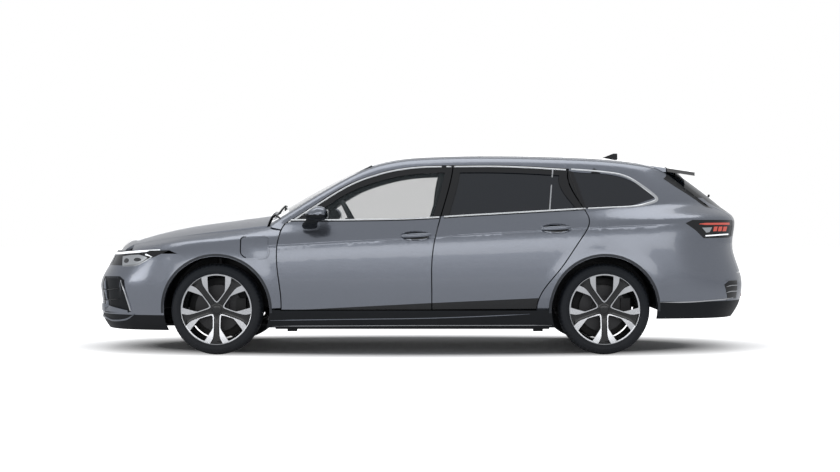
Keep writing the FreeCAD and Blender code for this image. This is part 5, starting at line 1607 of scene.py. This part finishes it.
def side_frame_material(center, normal):
    """Gloss black between the rear door's glass and the quarter window, paint elsewhere."""
    framed = 0.95 < center.x < 1.30 and belt_of(center.x) + 0.002 < center.z < 1.352
    return GLOSSED if framed else PAINTED


dress("roof_rails", side_frame_material, crease=False)

# Brake dust shields, wider than real ones: their dark steel is painted shade that hides the floor seen
# through the wheels
SHADE_SHIELD_PROFILE = [(0.060, -0.002), (0.180, -0.002), (0.222, -0.010), (0.224, -0.008), (0.182, 0.0),
                  (0.060, 0.0), (0.060, -0.002)]
for end, axle_x, inner_y in (("front", AXLES["front"], 0.700), ("rear", AXLES["rear"], 0.692)):
    for side in ("left", "right"):
        sign = -1.0 if side == "left" else 1.0
        body = f"knuckle_{side}" if end == "front" else "body"
        ring, ring_faces = turned_mesh(SHADE_SHIELD_PROFILE, 72)
        placed = [Vector((axle_x + x, sign * (inner_y + y), ARCH_HEIGHT + z)) for x, y, z in ring]
        sharpen(finished(f"brake_shield_{end}_{side}", mesh_of(placed, ring_faces), body, STEEL))

seam = from_photo([(262.0, 235.6), (266.5, 236.2), (268.8, 239.5), (269.4, 247.0), (269.0, 254.5),
                   (266.0, 258.2), (258.0, 259.2)])
side_strip("charge_flap_seam", seam, flat_profile(0.0030, 0.0006), "body", RUBBER_SEAL,
           0.010, both=False)

# Cabin: padded seats, dashboard and console

STITCH = add_grain(principled("seat_stitching", (0.30, 0.29, 0.27), 0.7), 900, 0.1)
SCREEN = add_grain(principled("dark_screen", (0.006, 0.007, 0.010), 0.08, 0.0, Coat_Weight=0.6), 100, 0.01)

SEAT_SIDE = 0.37
SEAM_SIDE = 0.150
FLOOR_TOP = 0.2005
BACK_FOOT = (0.070, 0.415)
BENCH_FOOT = (0.752, 0.415)


def node_tree_of(name, inputs):
    """An empty geometry tree with named inputs and one geometry in and out."""
    tree = bpy.data.node_groups.new(name, "GeometryNodeTree")
    tree.interface.new_socket(name="Geometry", in_out="INPUT", socket_type="NodeSocketGeometry")
    for label, kind, default in inputs:
        socket = tree.interface.new_socket(name=label, in_out="INPUT", socket_type=kind)
        if default is not None:
            socket.default_value = default
    tree.interface.new_socket(name="Geometry", in_out="OUTPUT", socket_type="NodeSocketGeometry")
    return tree, tree.nodes.new("NodeGroupInput"), tree.nodes.new("NodeGroupOutput")


def spread_out(tree, entry, leave, points, instance, rotation=None):
    """Ends a tree: instances on points, made real, in the Material input's material."""
    spread = tree.nodes.new("GeometryNodeInstanceOnPoints")
    real = tree.nodes.new("GeometryNodeRealizeInstances")
    colour = tree.nodes.new("GeometryNodeSetMaterial")
    link(tree, points, spread.inputs["Points"])
    link(tree, instance, spread.inputs["Instance"])
    if rotation:
        link(tree, rotation, spread.inputs["Rotation"])
    link(tree, spread.outputs["Instances"], real.inputs["Geometry"])
    link(tree, real.outputs["Geometry"], colour.inputs["Geometry"])
    link(tree, entry.outputs["Material"], colour.inputs["Material"])
    link(tree, colour.outputs["Geometry"], leave.inputs["Geometry"])


def slats_tree():
    """Equal bars in an even row: Count bars of Size, Step apart."""
    tree, entry, leave = node_tree_of("even_slats", [
        ("Count", "NodeSocketInt", 5), ("Size", "NodeSocketVector", (0.1, 0.01, 0.004)),
        ("Step", "NodeSocketVector", (0.0, 0.0, 0.01)), ("Material", "NodeSocketMaterial", None)])
    row = tree.nodes.new("GeometryNodeMeshLine")
    bar = tree.nodes.new("GeometryNodeMeshCube")
    link(tree, entry.outputs["Count"], row.inputs["Count"])
    link(tree, entry.outputs["Step"], row.inputs["Offset"])
    link(tree, entry.outputs["Size"], bar.inputs["Size"])
    spread_out(tree, entry, leave, row.outputs["Mesh"], bar.outputs["Mesh"])
    return tree


def stitches_tree():
    """Short threads at even spacing along the edges of a line."""
    tree, entry, leave = node_tree_of("even_stitches", [
        ("Spacing", "NodeSocketFloat", 0.009), ("Length", "NodeSocketFloat", 0.006),
        ("Thickness", "NodeSocketFloat", 0.0012), ("Material", "NodeSocketMaterial", None)])
    curve = tree.nodes.new("GeometryNodeMeshToCurve")
    even = tree.nodes.new("GeometryNodeResampleCurve")
    even.mode = "LENGTH"
    tangent = tree.nodes.new("GeometryNodeInputTangent")
    turn = tree.nodes.new("FunctionNodeAlignRotationToVector")
    turn.axis = "X"
    size = tree.nodes.new("ShaderNodeCombineXYZ")
    thread = tree.nodes.new("GeometryNodeMeshCube")
    link(tree, entry.outputs["Geometry"], curve.inputs["Mesh"])
    link(tree, curve.outputs["Curve"], even.inputs["Curve"])
    link(tree, entry.outputs["Spacing"], even.inputs["Length"])
    link(tree, entry.outputs["Length"], size.inputs["X"])
    link(tree, entry.outputs["Thickness"], size.inputs["Y"])
    link(tree, entry.outputs["Thickness"], size.inputs["Z"])
    link(tree, size.outputs["Vector"], thread.inputs["Size"])
    link(tree, tangent.outputs["Tangent"], turn.inputs["Vector"])
    spread_out(tree, entry, leave, even.outputs["Curve"], thread.outputs["Mesh"], turn.outputs["Rotation"])
    return tree


SLATS = slats_tree()
STITCHES = stitches_tree()


def from_nodes(tree, mesh, values):
    """The mesh that a geometry tree makes from a mesh and named values."""
    carrier = bpy.data.objects.new("carrier", mesh)
    bpy.context.scene.collection.objects.link(carrier)
    modifier = carrier.modifiers.new("made", "NODES")
    modifier.node_group = tree
    for item in tree.interface.items_tree:
        if item.item_type == "SOCKET" and item.in_out == "INPUT" and item.name in values:
            modifier[item.identifier] = values[item.name]
    carrier.update_tag()
    graph = bpy.context.evaluated_depsgraph_get()
    graph.update()
    made = bpy.data.meshes.new_from_object(carrier.evaluated_get(graph))
    bpy.data.objects.remove(carrier)
    made.materials.clear()
    for face in made.polygons:
        face.material_index = 0
    return made


def line_mesh(lines):
    """A mesh of edges along several lines of points."""
    vertices, edges = [], []
    for line in lines:
        start = len(vertices)
        vertices += [tuple(p) for p in line]
        edges += [(start + i, start + i + 1) for i in range(len(line) - 1)]
    mesh = bpy.data.meshes.new("line")
    mesh.from_pydata(vertices, edges, [])
    return mesh


def row_of_slats(count, size, step, place):
    """A row of slats whose first one is centred on place."""
    mesh = from_nodes(SLATS, bpy.data.meshes.new("seed"), {"Count": count, "Size": size, "Step": step,
                                                           "Material": BLACK_TRIM})
    mesh.transform(Matrix.Translation(Vector(place)))
    return mesh


# Pads are modelled a little small, then swollen by a cloth simulation


def pad_mesh(length, half_width, depth, bolster, crown):
    """A crowned pad along Z, its face towards -X, with raised side bolsters."""
    rings = []
    stations = 15
    for i in range(stations):
        t = i / (stations - 1)
        end = min(t, 1 - t) * 2
        swell = (1 - (1 - min(end * 3.2, 1.0)) ** 2) ** 0.5
        wide = half_width * (1 - 0.06 * (1 - swell)) * (0.86 + 0.14 * swell)
        thick = depth * (0.40 + 0.60 * swell)
        ring = []
        for k in range(28):
            a = 2 * math.pi * k / 28
            c, s = math.cos(a), math.sin(a)
            y = math.copysign(abs(s) ** 0.42, s) * wide
            x = math.copysign(abs(c) ** 0.50, c) * thick / 2
            side = min(abs(y) / half_width, 1.0)
            if c < 0:
                x -= bolster * max(side - 0.55, 0.0) / 0.45 * swell
                x -= crown * (1 - side * side) * swell
            ring.append(Vector((x + depth / 2, y, t * length)))
        rings.append(ring)
    return mesh_of(*loft(rings))


def placed_pad(mesh, place, lean):
    """A pad mesh leant back by an angle and moved to its place."""
    mesh.transform(Matrix.Translation(Vector(place)) @ Matrix.Rotation(lean, 4, "Y"))
    return mesh


RECLINE = math.radians(20)
BENCH_RECLINE = math.radians(18)


def lying_pad(length, half_width, depth, bolster, crown, x_front, y, z_low):
    """A seat cushion: the same pad laid down, its face upwards."""
    mesh = pad_mesh(length, half_width, depth, bolster, crown)
    turned = Matrix(((0, 0, 1, 0), (0, 1, 0, 0), (-1, 0, 0, 0), (0, 0, 0, 1)))
    mesh.transform(Matrix.Translation(Vector((x_front, y, z_low + depth))) @ turned)
    work = bmesh.new()
    work.from_mesh(mesh)
    bmesh.ops.recalc_face_normals(work, faces=work.faces)
    work.to_mesh(mesh)
    work.free()
    return mesh


PADS = {
    "seat_cushion": (lying_pad(0.490, 0.235, 0.130, 0.022, 0.010, -0.405, -SEAT_SIDE, 0.300), 0.014, 0.0125),
    "seat_back": (placed_pad(pad_mesh(0.600, 0.235, 0.096, 0.026, 0.004),
                             (BACK_FOOT[0], -SEAT_SIDE, BACK_FOOT[1]), RECLINE), 0.014, 0.0125),
    "head_rest": (placed_pad(pad_mesh(0.165, 0.118, 0.066, 0.0, 0.010), (0.298, -SEAT_SIDE, 1.022),
                             math.radians(4)), 0.008, 0.0095),
    "bench_cushion": (lying_pad(0.400, 0.600, 0.130, 0.006, 0.010, 0.362, 0.0, 0.300), 0.014, 0.0145),
    "bench_back": (placed_pad(pad_mesh(0.565, 0.600, 0.096, 0.010, 0.006),
                              (BENCH_FOOT[0], 0.0, BENCH_FOOT[1]), BENCH_RECLINE), 0.014, 0.0145),
}


def swollen(pads):
    """Remeshes every pad, lets cloth pressure fill it, caps the movement and smooths it once."""
    made = {}
    for name, (mesh, cap, voxel) in pads.items():
        piece = bpy.data.objects.new(name, mesh)
        bpy.context.scene.collection.objects.link(piece)
        remesh = piece.modifiers.new("even", "REMESH")
        remesh.mode = "VOXEL"
        remesh.voxel_size = voxel
        even = evaluated_mesh(piece)
        piece.modifiers.clear()
        piece.data = even
        cloth = piece.modifiers.new("fill", "CLOTH")
        cloth.settings.quality = 5
        cloth.settings.use_pressure = True
        cloth.settings.uniform_pressure_force = 4.0
        cloth.settings.effector_weights.gravity = 0.0
        cloth.point_cache.frame_start = 1
        cloth.point_cache.frame_end = 20
        made[name] = piece
    for step in range(1, 21):
        bpy.context.scene.frame_set(step)
    results = {}
    for name, piece in made.items():
        cap = pads[name][1]
        filled = evaluated_mesh(piece)
        for vertex, before in zip(filled.vertices, piece.data.vertices):
            move = vertex.co - before.co
            if move.length > cap:
                vertex.co = before.co + move.normalized() * cap
        piece.modifiers.clear()
        bpy.data.objects.remove(piece)
        carrier = bpy.data.objects.new("smooth", filled)
        bpy.context.scene.collection.objects.link(carrier)
        finer = carrier.modifiers.new("finer", "SUBSURF")
        finer.levels = 1
        finer.render_levels = 1
        results[name] = evaluated_mesh(carrier)
        bpy.data.objects.remove(carrier)
    return results


def sewn(mesh, channels, depth=0.007, width=0.007):
    """Presses sewn channels into a pad; each channel gives a point's distance from its seam."""
    places = [vertex.co.copy() for vertex in mesh.vertices]
    normals = [vertex.normal.copy() for vertex in mesh.vertices]
    moved = []
    for place, normal in zip(places, normals):
        press = sum(math.exp(-(off / width) ** 2) for off in (distance(place) for distance in channels)
                    if abs(off) < width * 3)
        moved.extend(place - normal * depth * min(press, 1.0))
    mesh.vertices.foreach_set("co", moved)
    mesh.update()
    return mesh


SWOLLEN = swollen(PADS)
up_back = Vector((math.sin(RECLINE), 0, math.cos(RECLINE)))


def along_back(point, base, lean):
    """How far up a leaning back a point lies from its foot."""
    return (point.x - base[0]) * math.sin(lean) + (point.z - base[1]) * math.cos(lean)


sewn(SWOLLEN["seat_cushion"], [lambda p: abs(p.y + SEAT_SIDE) - SEAM_SIDE] + [
    (lambda p, x=x: p.x - x if abs(p.y + SEAT_SIDE) < SEAM_SIDE and p.z > 0.40 else 1.0)
    for x in (-0.28, -0.15, -0.02)])
sewn(SWOLLEN["seat_back"], [lambda p: abs(p.y + SEAT_SIDE) - SEAM_SIDE] + [
    (lambda p, h=h: along_back(p, BACK_FOOT, RECLINE) - h if abs(p.y + SEAT_SIDE) < SEAM_SIDE else 1.0)
    for h in (0.14, 0.28, 0.42)])
sewn(SWOLLEN["bench_cushion"], [lambda p: abs(p.y) - 0.16, lambda p: abs(abs(p.y) - 0.50)] + [
    (lambda p, x=x: p.x - x if p.z > 0.40 else 1.0) for x in (0.49, 0.62)])
sewn(SWOLLEN["bench_back"], [lambda p: abs(p.y) - 0.16, lambda p: abs(abs(p.y) - 0.50)] + [
    (lambda p, h=h: along_back(p, BENCH_FOOT, BENCH_RECLINE) - h) for h in (0.19, 0.37)])
seat_body = body_of_node["front_seats"]
for name in ("seat_cushion", "seat_back", "head_rest"):
    mesh = SWOLLEN[name]
    twin = flipped(mesh)
    for label, shape in (("left", mesh), ("right", twin)):
        piece = finished(f"{name}_{label}", shape, seat_body, LEATHER)
        if name == "seat_back":
            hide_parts("front_seats")
for name in ("bench_cushion", "bench_back"):
    piece = finished(name, SWOLLEN[name], body_of_node["rear_seat"], LEATHER)
    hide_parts("rear_seat")
for number, y in enumerate((-SEAT_SIDE, 0.0, SEAT_SIDE)):
    shape = SWOLLEN["head_rest"].copy()
    shape.transform(Matrix.Translation(Vector((0.632, y + SEAT_SIDE, -0.105))))
    piece = finished(f"rear_head_rest_{number}", shape, body_of_node["rear_seat"], LEATHER)

seat_frames = []
for side in (-1, 1):
    for y in (-0.16, 0.16):
        seat_frames.append(box_mesh((-0.36, side * SEAT_SIDE + y - 0.018, FLOOR_TOP),
                                    (0.10, side * SEAT_SIDE + y + 0.018, 0.236)))
    seat_frames.append(box_mesh((-0.35, side * SEAT_SIDE - 0.20, 0.236),
                                (0.08, side * SEAT_SIDE + 0.20, 0.302)))
    for y in (-0.065, 0.065):
        seat_frames.append(box_mesh((0.318, side * SEAT_SIDE + y - 0.006, 0.960),
                                    (0.330, side * SEAT_SIDE + y + 0.006, 1.040)))
    seat_frames.append(box_mesh((0.02, side * SEAT_SIDE - 0.232, 0.300),
                                (0.16, side * SEAT_SIDE - 0.205, 0.430)))
    seat_frames.append(box_mesh((0.02, side * SEAT_SIDE + 0.205, 0.300),
                                (0.16, side * SEAT_SIDE + 0.232, 0.430)))
frames = finished("seat_frames", joined_mesh(seat_frames), seat_body, CABIN_PLASTIC)
bevelled(frames, 0.004)
bench_frames = [box_mesh((0.40, -0.56, FLOOR_TOP), (0.76, 0.56, 0.302))]
for y in (-SEAT_SIDE, 0.0, SEAT_SIDE):
    for dy in (-0.065, 0.065):
        bench_frames.append(box_mesh((0.950, y + dy - 0.005, 0.900), (0.960, y + dy + 0.005, 0.960)))
bevelled(finished("bench_frames", joined_mesh(bench_frames), body_of_node["rear_seat"], CABIN_PLASTIC), 0.004)

# Threads along the bolster seams of the front seats
CUSHION = tree_over(SWOLLEN["seat_cushion"])
BACK = tree_over(SWOLLEN["seat_back"])
seams = []
for side in (-1, 1):
    for offset in (-0.0055, 0.0055):
        y = -SEAT_SIDE + side * SEAM_SIDE + offset
        line = []
        for i in range(40):
            place, _, _, _ = CUSHION.ray_cast(Vector((-0.36 + 0.40 * i / 39, y, 0.9)), Vector((0, 0, -1)))
            if place is not None:
                line.append(place + Vector((0, 0, 0.0004)))
        seams.append(line)
        line = []
        for i in range(50):
            height = 0.05 + 0.50 * i / 49
            start = Vector((BACK_FOOT[0], y, BACK_FOOT[1])) + up_back * height + Vector((-0.5, 0, 0))
            place, _, _, _ = BACK.ray_cast(start, Vector((1, 0, 0)))
            if place is not None:
                line.append(place + Vector((-0.0004, 0, 0)))
        seams.append(line)
threads = from_nodes(STITCHES, line_mesh([line for line in seams if len(line) > 2]),
                     {"Spacing": 0.010, "Length": 0.0065, "Thickness": 0.0012, "Material": STITCH})
for label, shape in (("left", threads), ("right", flipped(threads))):
    finished(f"seat_stitches_{label}", shape, seat_body, STITCH, smooth=False)


# Dashboard

dash_body = body_of_node["dashboard"]
dash_rings = []
DASH_PROFILE = [(-1.050, 0.900), (-1.020, 0.938), (-0.940, 0.950), (-0.850, 0.945), (-0.800, 0.925),
                (-0.775, 0.890),
                (-0.772, 0.850), (-0.790, 0.815), (-0.800, 0.775), (-0.830, 0.757), (-0.950, 0.752),
                (-1.050, 0.760)]
for i in range(25):
    y = -0.655 + 1.310 * i / 24
    hood_rise = 0.018 * math.exp(-((y + SEAT_SIDE) / 0.16) ** 2)
    ring = []
    for point in smooth_line(DASH_PROFILE, 3, closed=True):
        lift = hood_rise if point.y > 0.90 else 0.0
        ring.append(Vector((point.x, y, point.y + lift)))
    dash_rings.append(ring)
dash = finished("dash_pad", mesh_of(*loft(dash_rings)), dash_body, CABIN_PLASTIC)
sharpen(dash, 40)
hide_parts("dashboard")
column = turned_mesh([(0.0001, 0.0), (0.032, 0.0), (0.032, 0.26), (0.0001, 0.26)], 32)
column_turn = Matrix.Rotation(math.radians(-28), 4, "Y") @ Matrix.Rotation(math.radians(90), 4, "Z")
column_mesh = mesh_of([Vector(p) for p in column[0]], column[1])
column_mesh.transform(Matrix.Translation(Vector((-0.545, -0.370, 0.951))) @ column_turn)
sharpen(finished("column_cover", column_mesh, dash_body, CABIN_PLASTIC))
bevelled(finished("driver_screen", box_mesh((-0.792, -0.500, 0.872), (-0.770, -0.240, 0.950)),
                  dash_body, SCREEN), 0.004)
bevelled(finished("centre_screen", box_mesh((-0.790, -0.170, 0.850), (-0.764, 0.170, 0.985)),
                  dash_body, SCREEN), 0.006)
vents = [row_of_slats(5, (0.012, 0.120, 0.0022), (0.0, 0.0, 0.0085), (-0.778, y, 0.862))
         for y in (-0.585, 0.250, 0.585)]
finished("dash_vents", joined_mesh(vents), dash_body, BRIGHT_RAIL, smooth=False)
bevelled(finished("dash_line", box_mesh((-0.778, -0.650, 0.838), (-0.768, 0.650, 0.844)), dash_body,
                  BRIGHT_RAIL), 0.001)
CONSOLE = [(-0.78, 0.60), (-0.60, 0.52), (-0.35, 0.47), (-0.10, 0.46), (0.02, 0.545), (0.24, 0.545),
           (0.27, 0.30)]
console_rings = []
for i in range(31):
    t = i / 30
    x = -0.78 + 1.05 * t
    for (x0, z0), (x1, z1) in zip(CONSOLE, CONSOLE[1:]):
        if x <= x1:
            break
    share = min(max((x - x0) / (x1 - x0), 0), 1)
    top = z0 + (z1 - z0) * share * share * (3 - 2 * share)
    ring = []
    for dy, dz in superellipse(28, 1.0, 1.0, 5.0):
        ring.append(Vector((x, dy * 0.095, (top + FLOOR_TOP) / 2 + dz * (top - FLOOR_TOP) / 2)))
    console_rings.append(ring)
sharpen(finished("centre_console", mesh_of(*loft(console_rings)), seat_body, CABIN_PLASTIC), 40)

# Camera, floor and light

FRAME_WIDTH = 2 * PHOTO_MIDDLE
CAMERA_DIP = math.radians(0.66)
camera_data = bpy.data.cameras.new("camera")
camera_data.sensor_width = 36.0
camera_data.lens = 36.0 * FOCAL_PIXELS / FRAME_WIDTH
camera = bpy.data.objects.new("camera", camera_data)
camera.location = (CAMERA_X, -CAMERA_DISTANCE, CAMERA_HEIGHT)
camera.rotation_euler = (math.radians(90) - CAMERA_DIP, 0.0, 0.0)
bpy.context.scene.collection.objects.link(camera)
bpy.context.scene.camera = camera

FLOOR_HALF = 40
# Shares of the white background that mirroring surfaces see in the floor and in the sky
MIRRORED_FLOOR = 0.10
MIRRORED_SKY = 0.30
floor_mesh = bpy.data.meshes.new("floor")
floor_corners = [(x * FLOOR_HALF, y * FLOOR_HALF, 0) for x, y in ((-1, -1), (1, -1), (1, 1), (-1, 1))]
floor_mesh.from_pydata(floor_corners, [], [(0, 1, 2, 3)])
floor = bpy.data.objects.new("floor", floor_mesh)
bpy.context.scene.collection.objects.link(floor)
floor_material = principled("pale_floor", (0.88, 0.88, 0.88), 0.9)
floor_tree = floor_material.node_tree
floor_shader = floor_tree.nodes["Principled BSDF"]
floor_place = floor_tree.nodes.new("ShaderNodeTexCoord")
squeezed = floor_tree.nodes.new("ShaderNodeMapping")
squeezed.inputs["Scale"].default_value = (0.33, 0.85, 1.0)
link(floor_tree, floor_place.outputs["Object"], squeezed.inputs["Vector"])
distance_out = floor_tree.nodes.new("ShaderNodeVectorMath")
distance_out.operation = "LENGTH"
link(floor_tree, squeezed.outputs["Vector"], distance_out.inputs[0])
floor_rays = floor_tree.nodes.new("ShaderNodeLightPath")
shown = math_in(floor_tree, "MAXIMUM", floor_rays.outputs["Is Camera Ray"],
                floor_rays.outputs["Is Transmission Ray"])
mirrored = math_in(floor_tree, "MULTIPLY", floor_rays.outputs["Is Glossy Ray"], MIRRORED_FLOOR)
shown = math_in(floor_tree, "MAXIMUM", shown, mirrored)
fade = ramp_in(floor_tree, distance_out.outputs["Value"], 0.68, 1.06)
link(floor_tree, math_in(floor_tree, "MULTIPLY", fade, shown), floor_shader.inputs["Emission Strength"])
floor_shader.inputs["Emission Color"].default_value = (1.0, 1.0, 1.0, 1.0)
floor_mesh.materials.append(floor_material)

world = bpy.data.worlds.new("studio")
bpy.context.scene.world = world
world.use_nodes = True
sky = world.node_tree
background = sky.nodes["Background"]
light_path = sky.nodes.new("ShaderNodeLightPath")
seen = math_in(sky, "MAXIMUM", light_path.outputs["Is Camera Ray"], light_path.outputs["Is Transmission Ray"])
mirrored = math_in(sky, "MULTIPLY", light_path.outputs["Is Glossy Ray"], MIRRORED_SKY)
link(sky, mix_in(sky, math_in(sky, "MAXIMUM", seen, mirrored), (0.34, 0.35, 0.37, 1.0), (1.0, 1.0, 1.0, 1.0)),
     background.inputs["Color"])


def area_light(name, place, target, width, height, power):
    """A rectangular lamp aimed at a target."""
    data = bpy.data.lights.new(name, "AREA")
    data.shape = "RECTANGLE"
    data.size = width
    data.size_y = height
    data.energy = power
    light = bpy.data.objects.new(name, data)
    light.location = place
    light.rotation_euler = (Vector(target) - Vector(place)).to_track_quat("-Z", "Y").to_euler()
    bpy.context.scene.collection.objects.link(light)


area_light("ceiling_light", (0, 0, 6.5), (0, 0, 0), 9.0, 3.6, 150)
area_light("near_light", (0, -9.0, 1.80), (0, 0, 0.8), 11.0, 1.5, 85)
area_light("front_light", (-8.5, -6.5, 1.7), (-1.6, 0, 0.6), 3.5, 1.8, 55)
area_light("far_light", (0, 9.0, 2.6), (0, 0, 0.8), 10.0, 2.4, 90)

bpy.context.scene.view_settings.view_transform = "Standard"
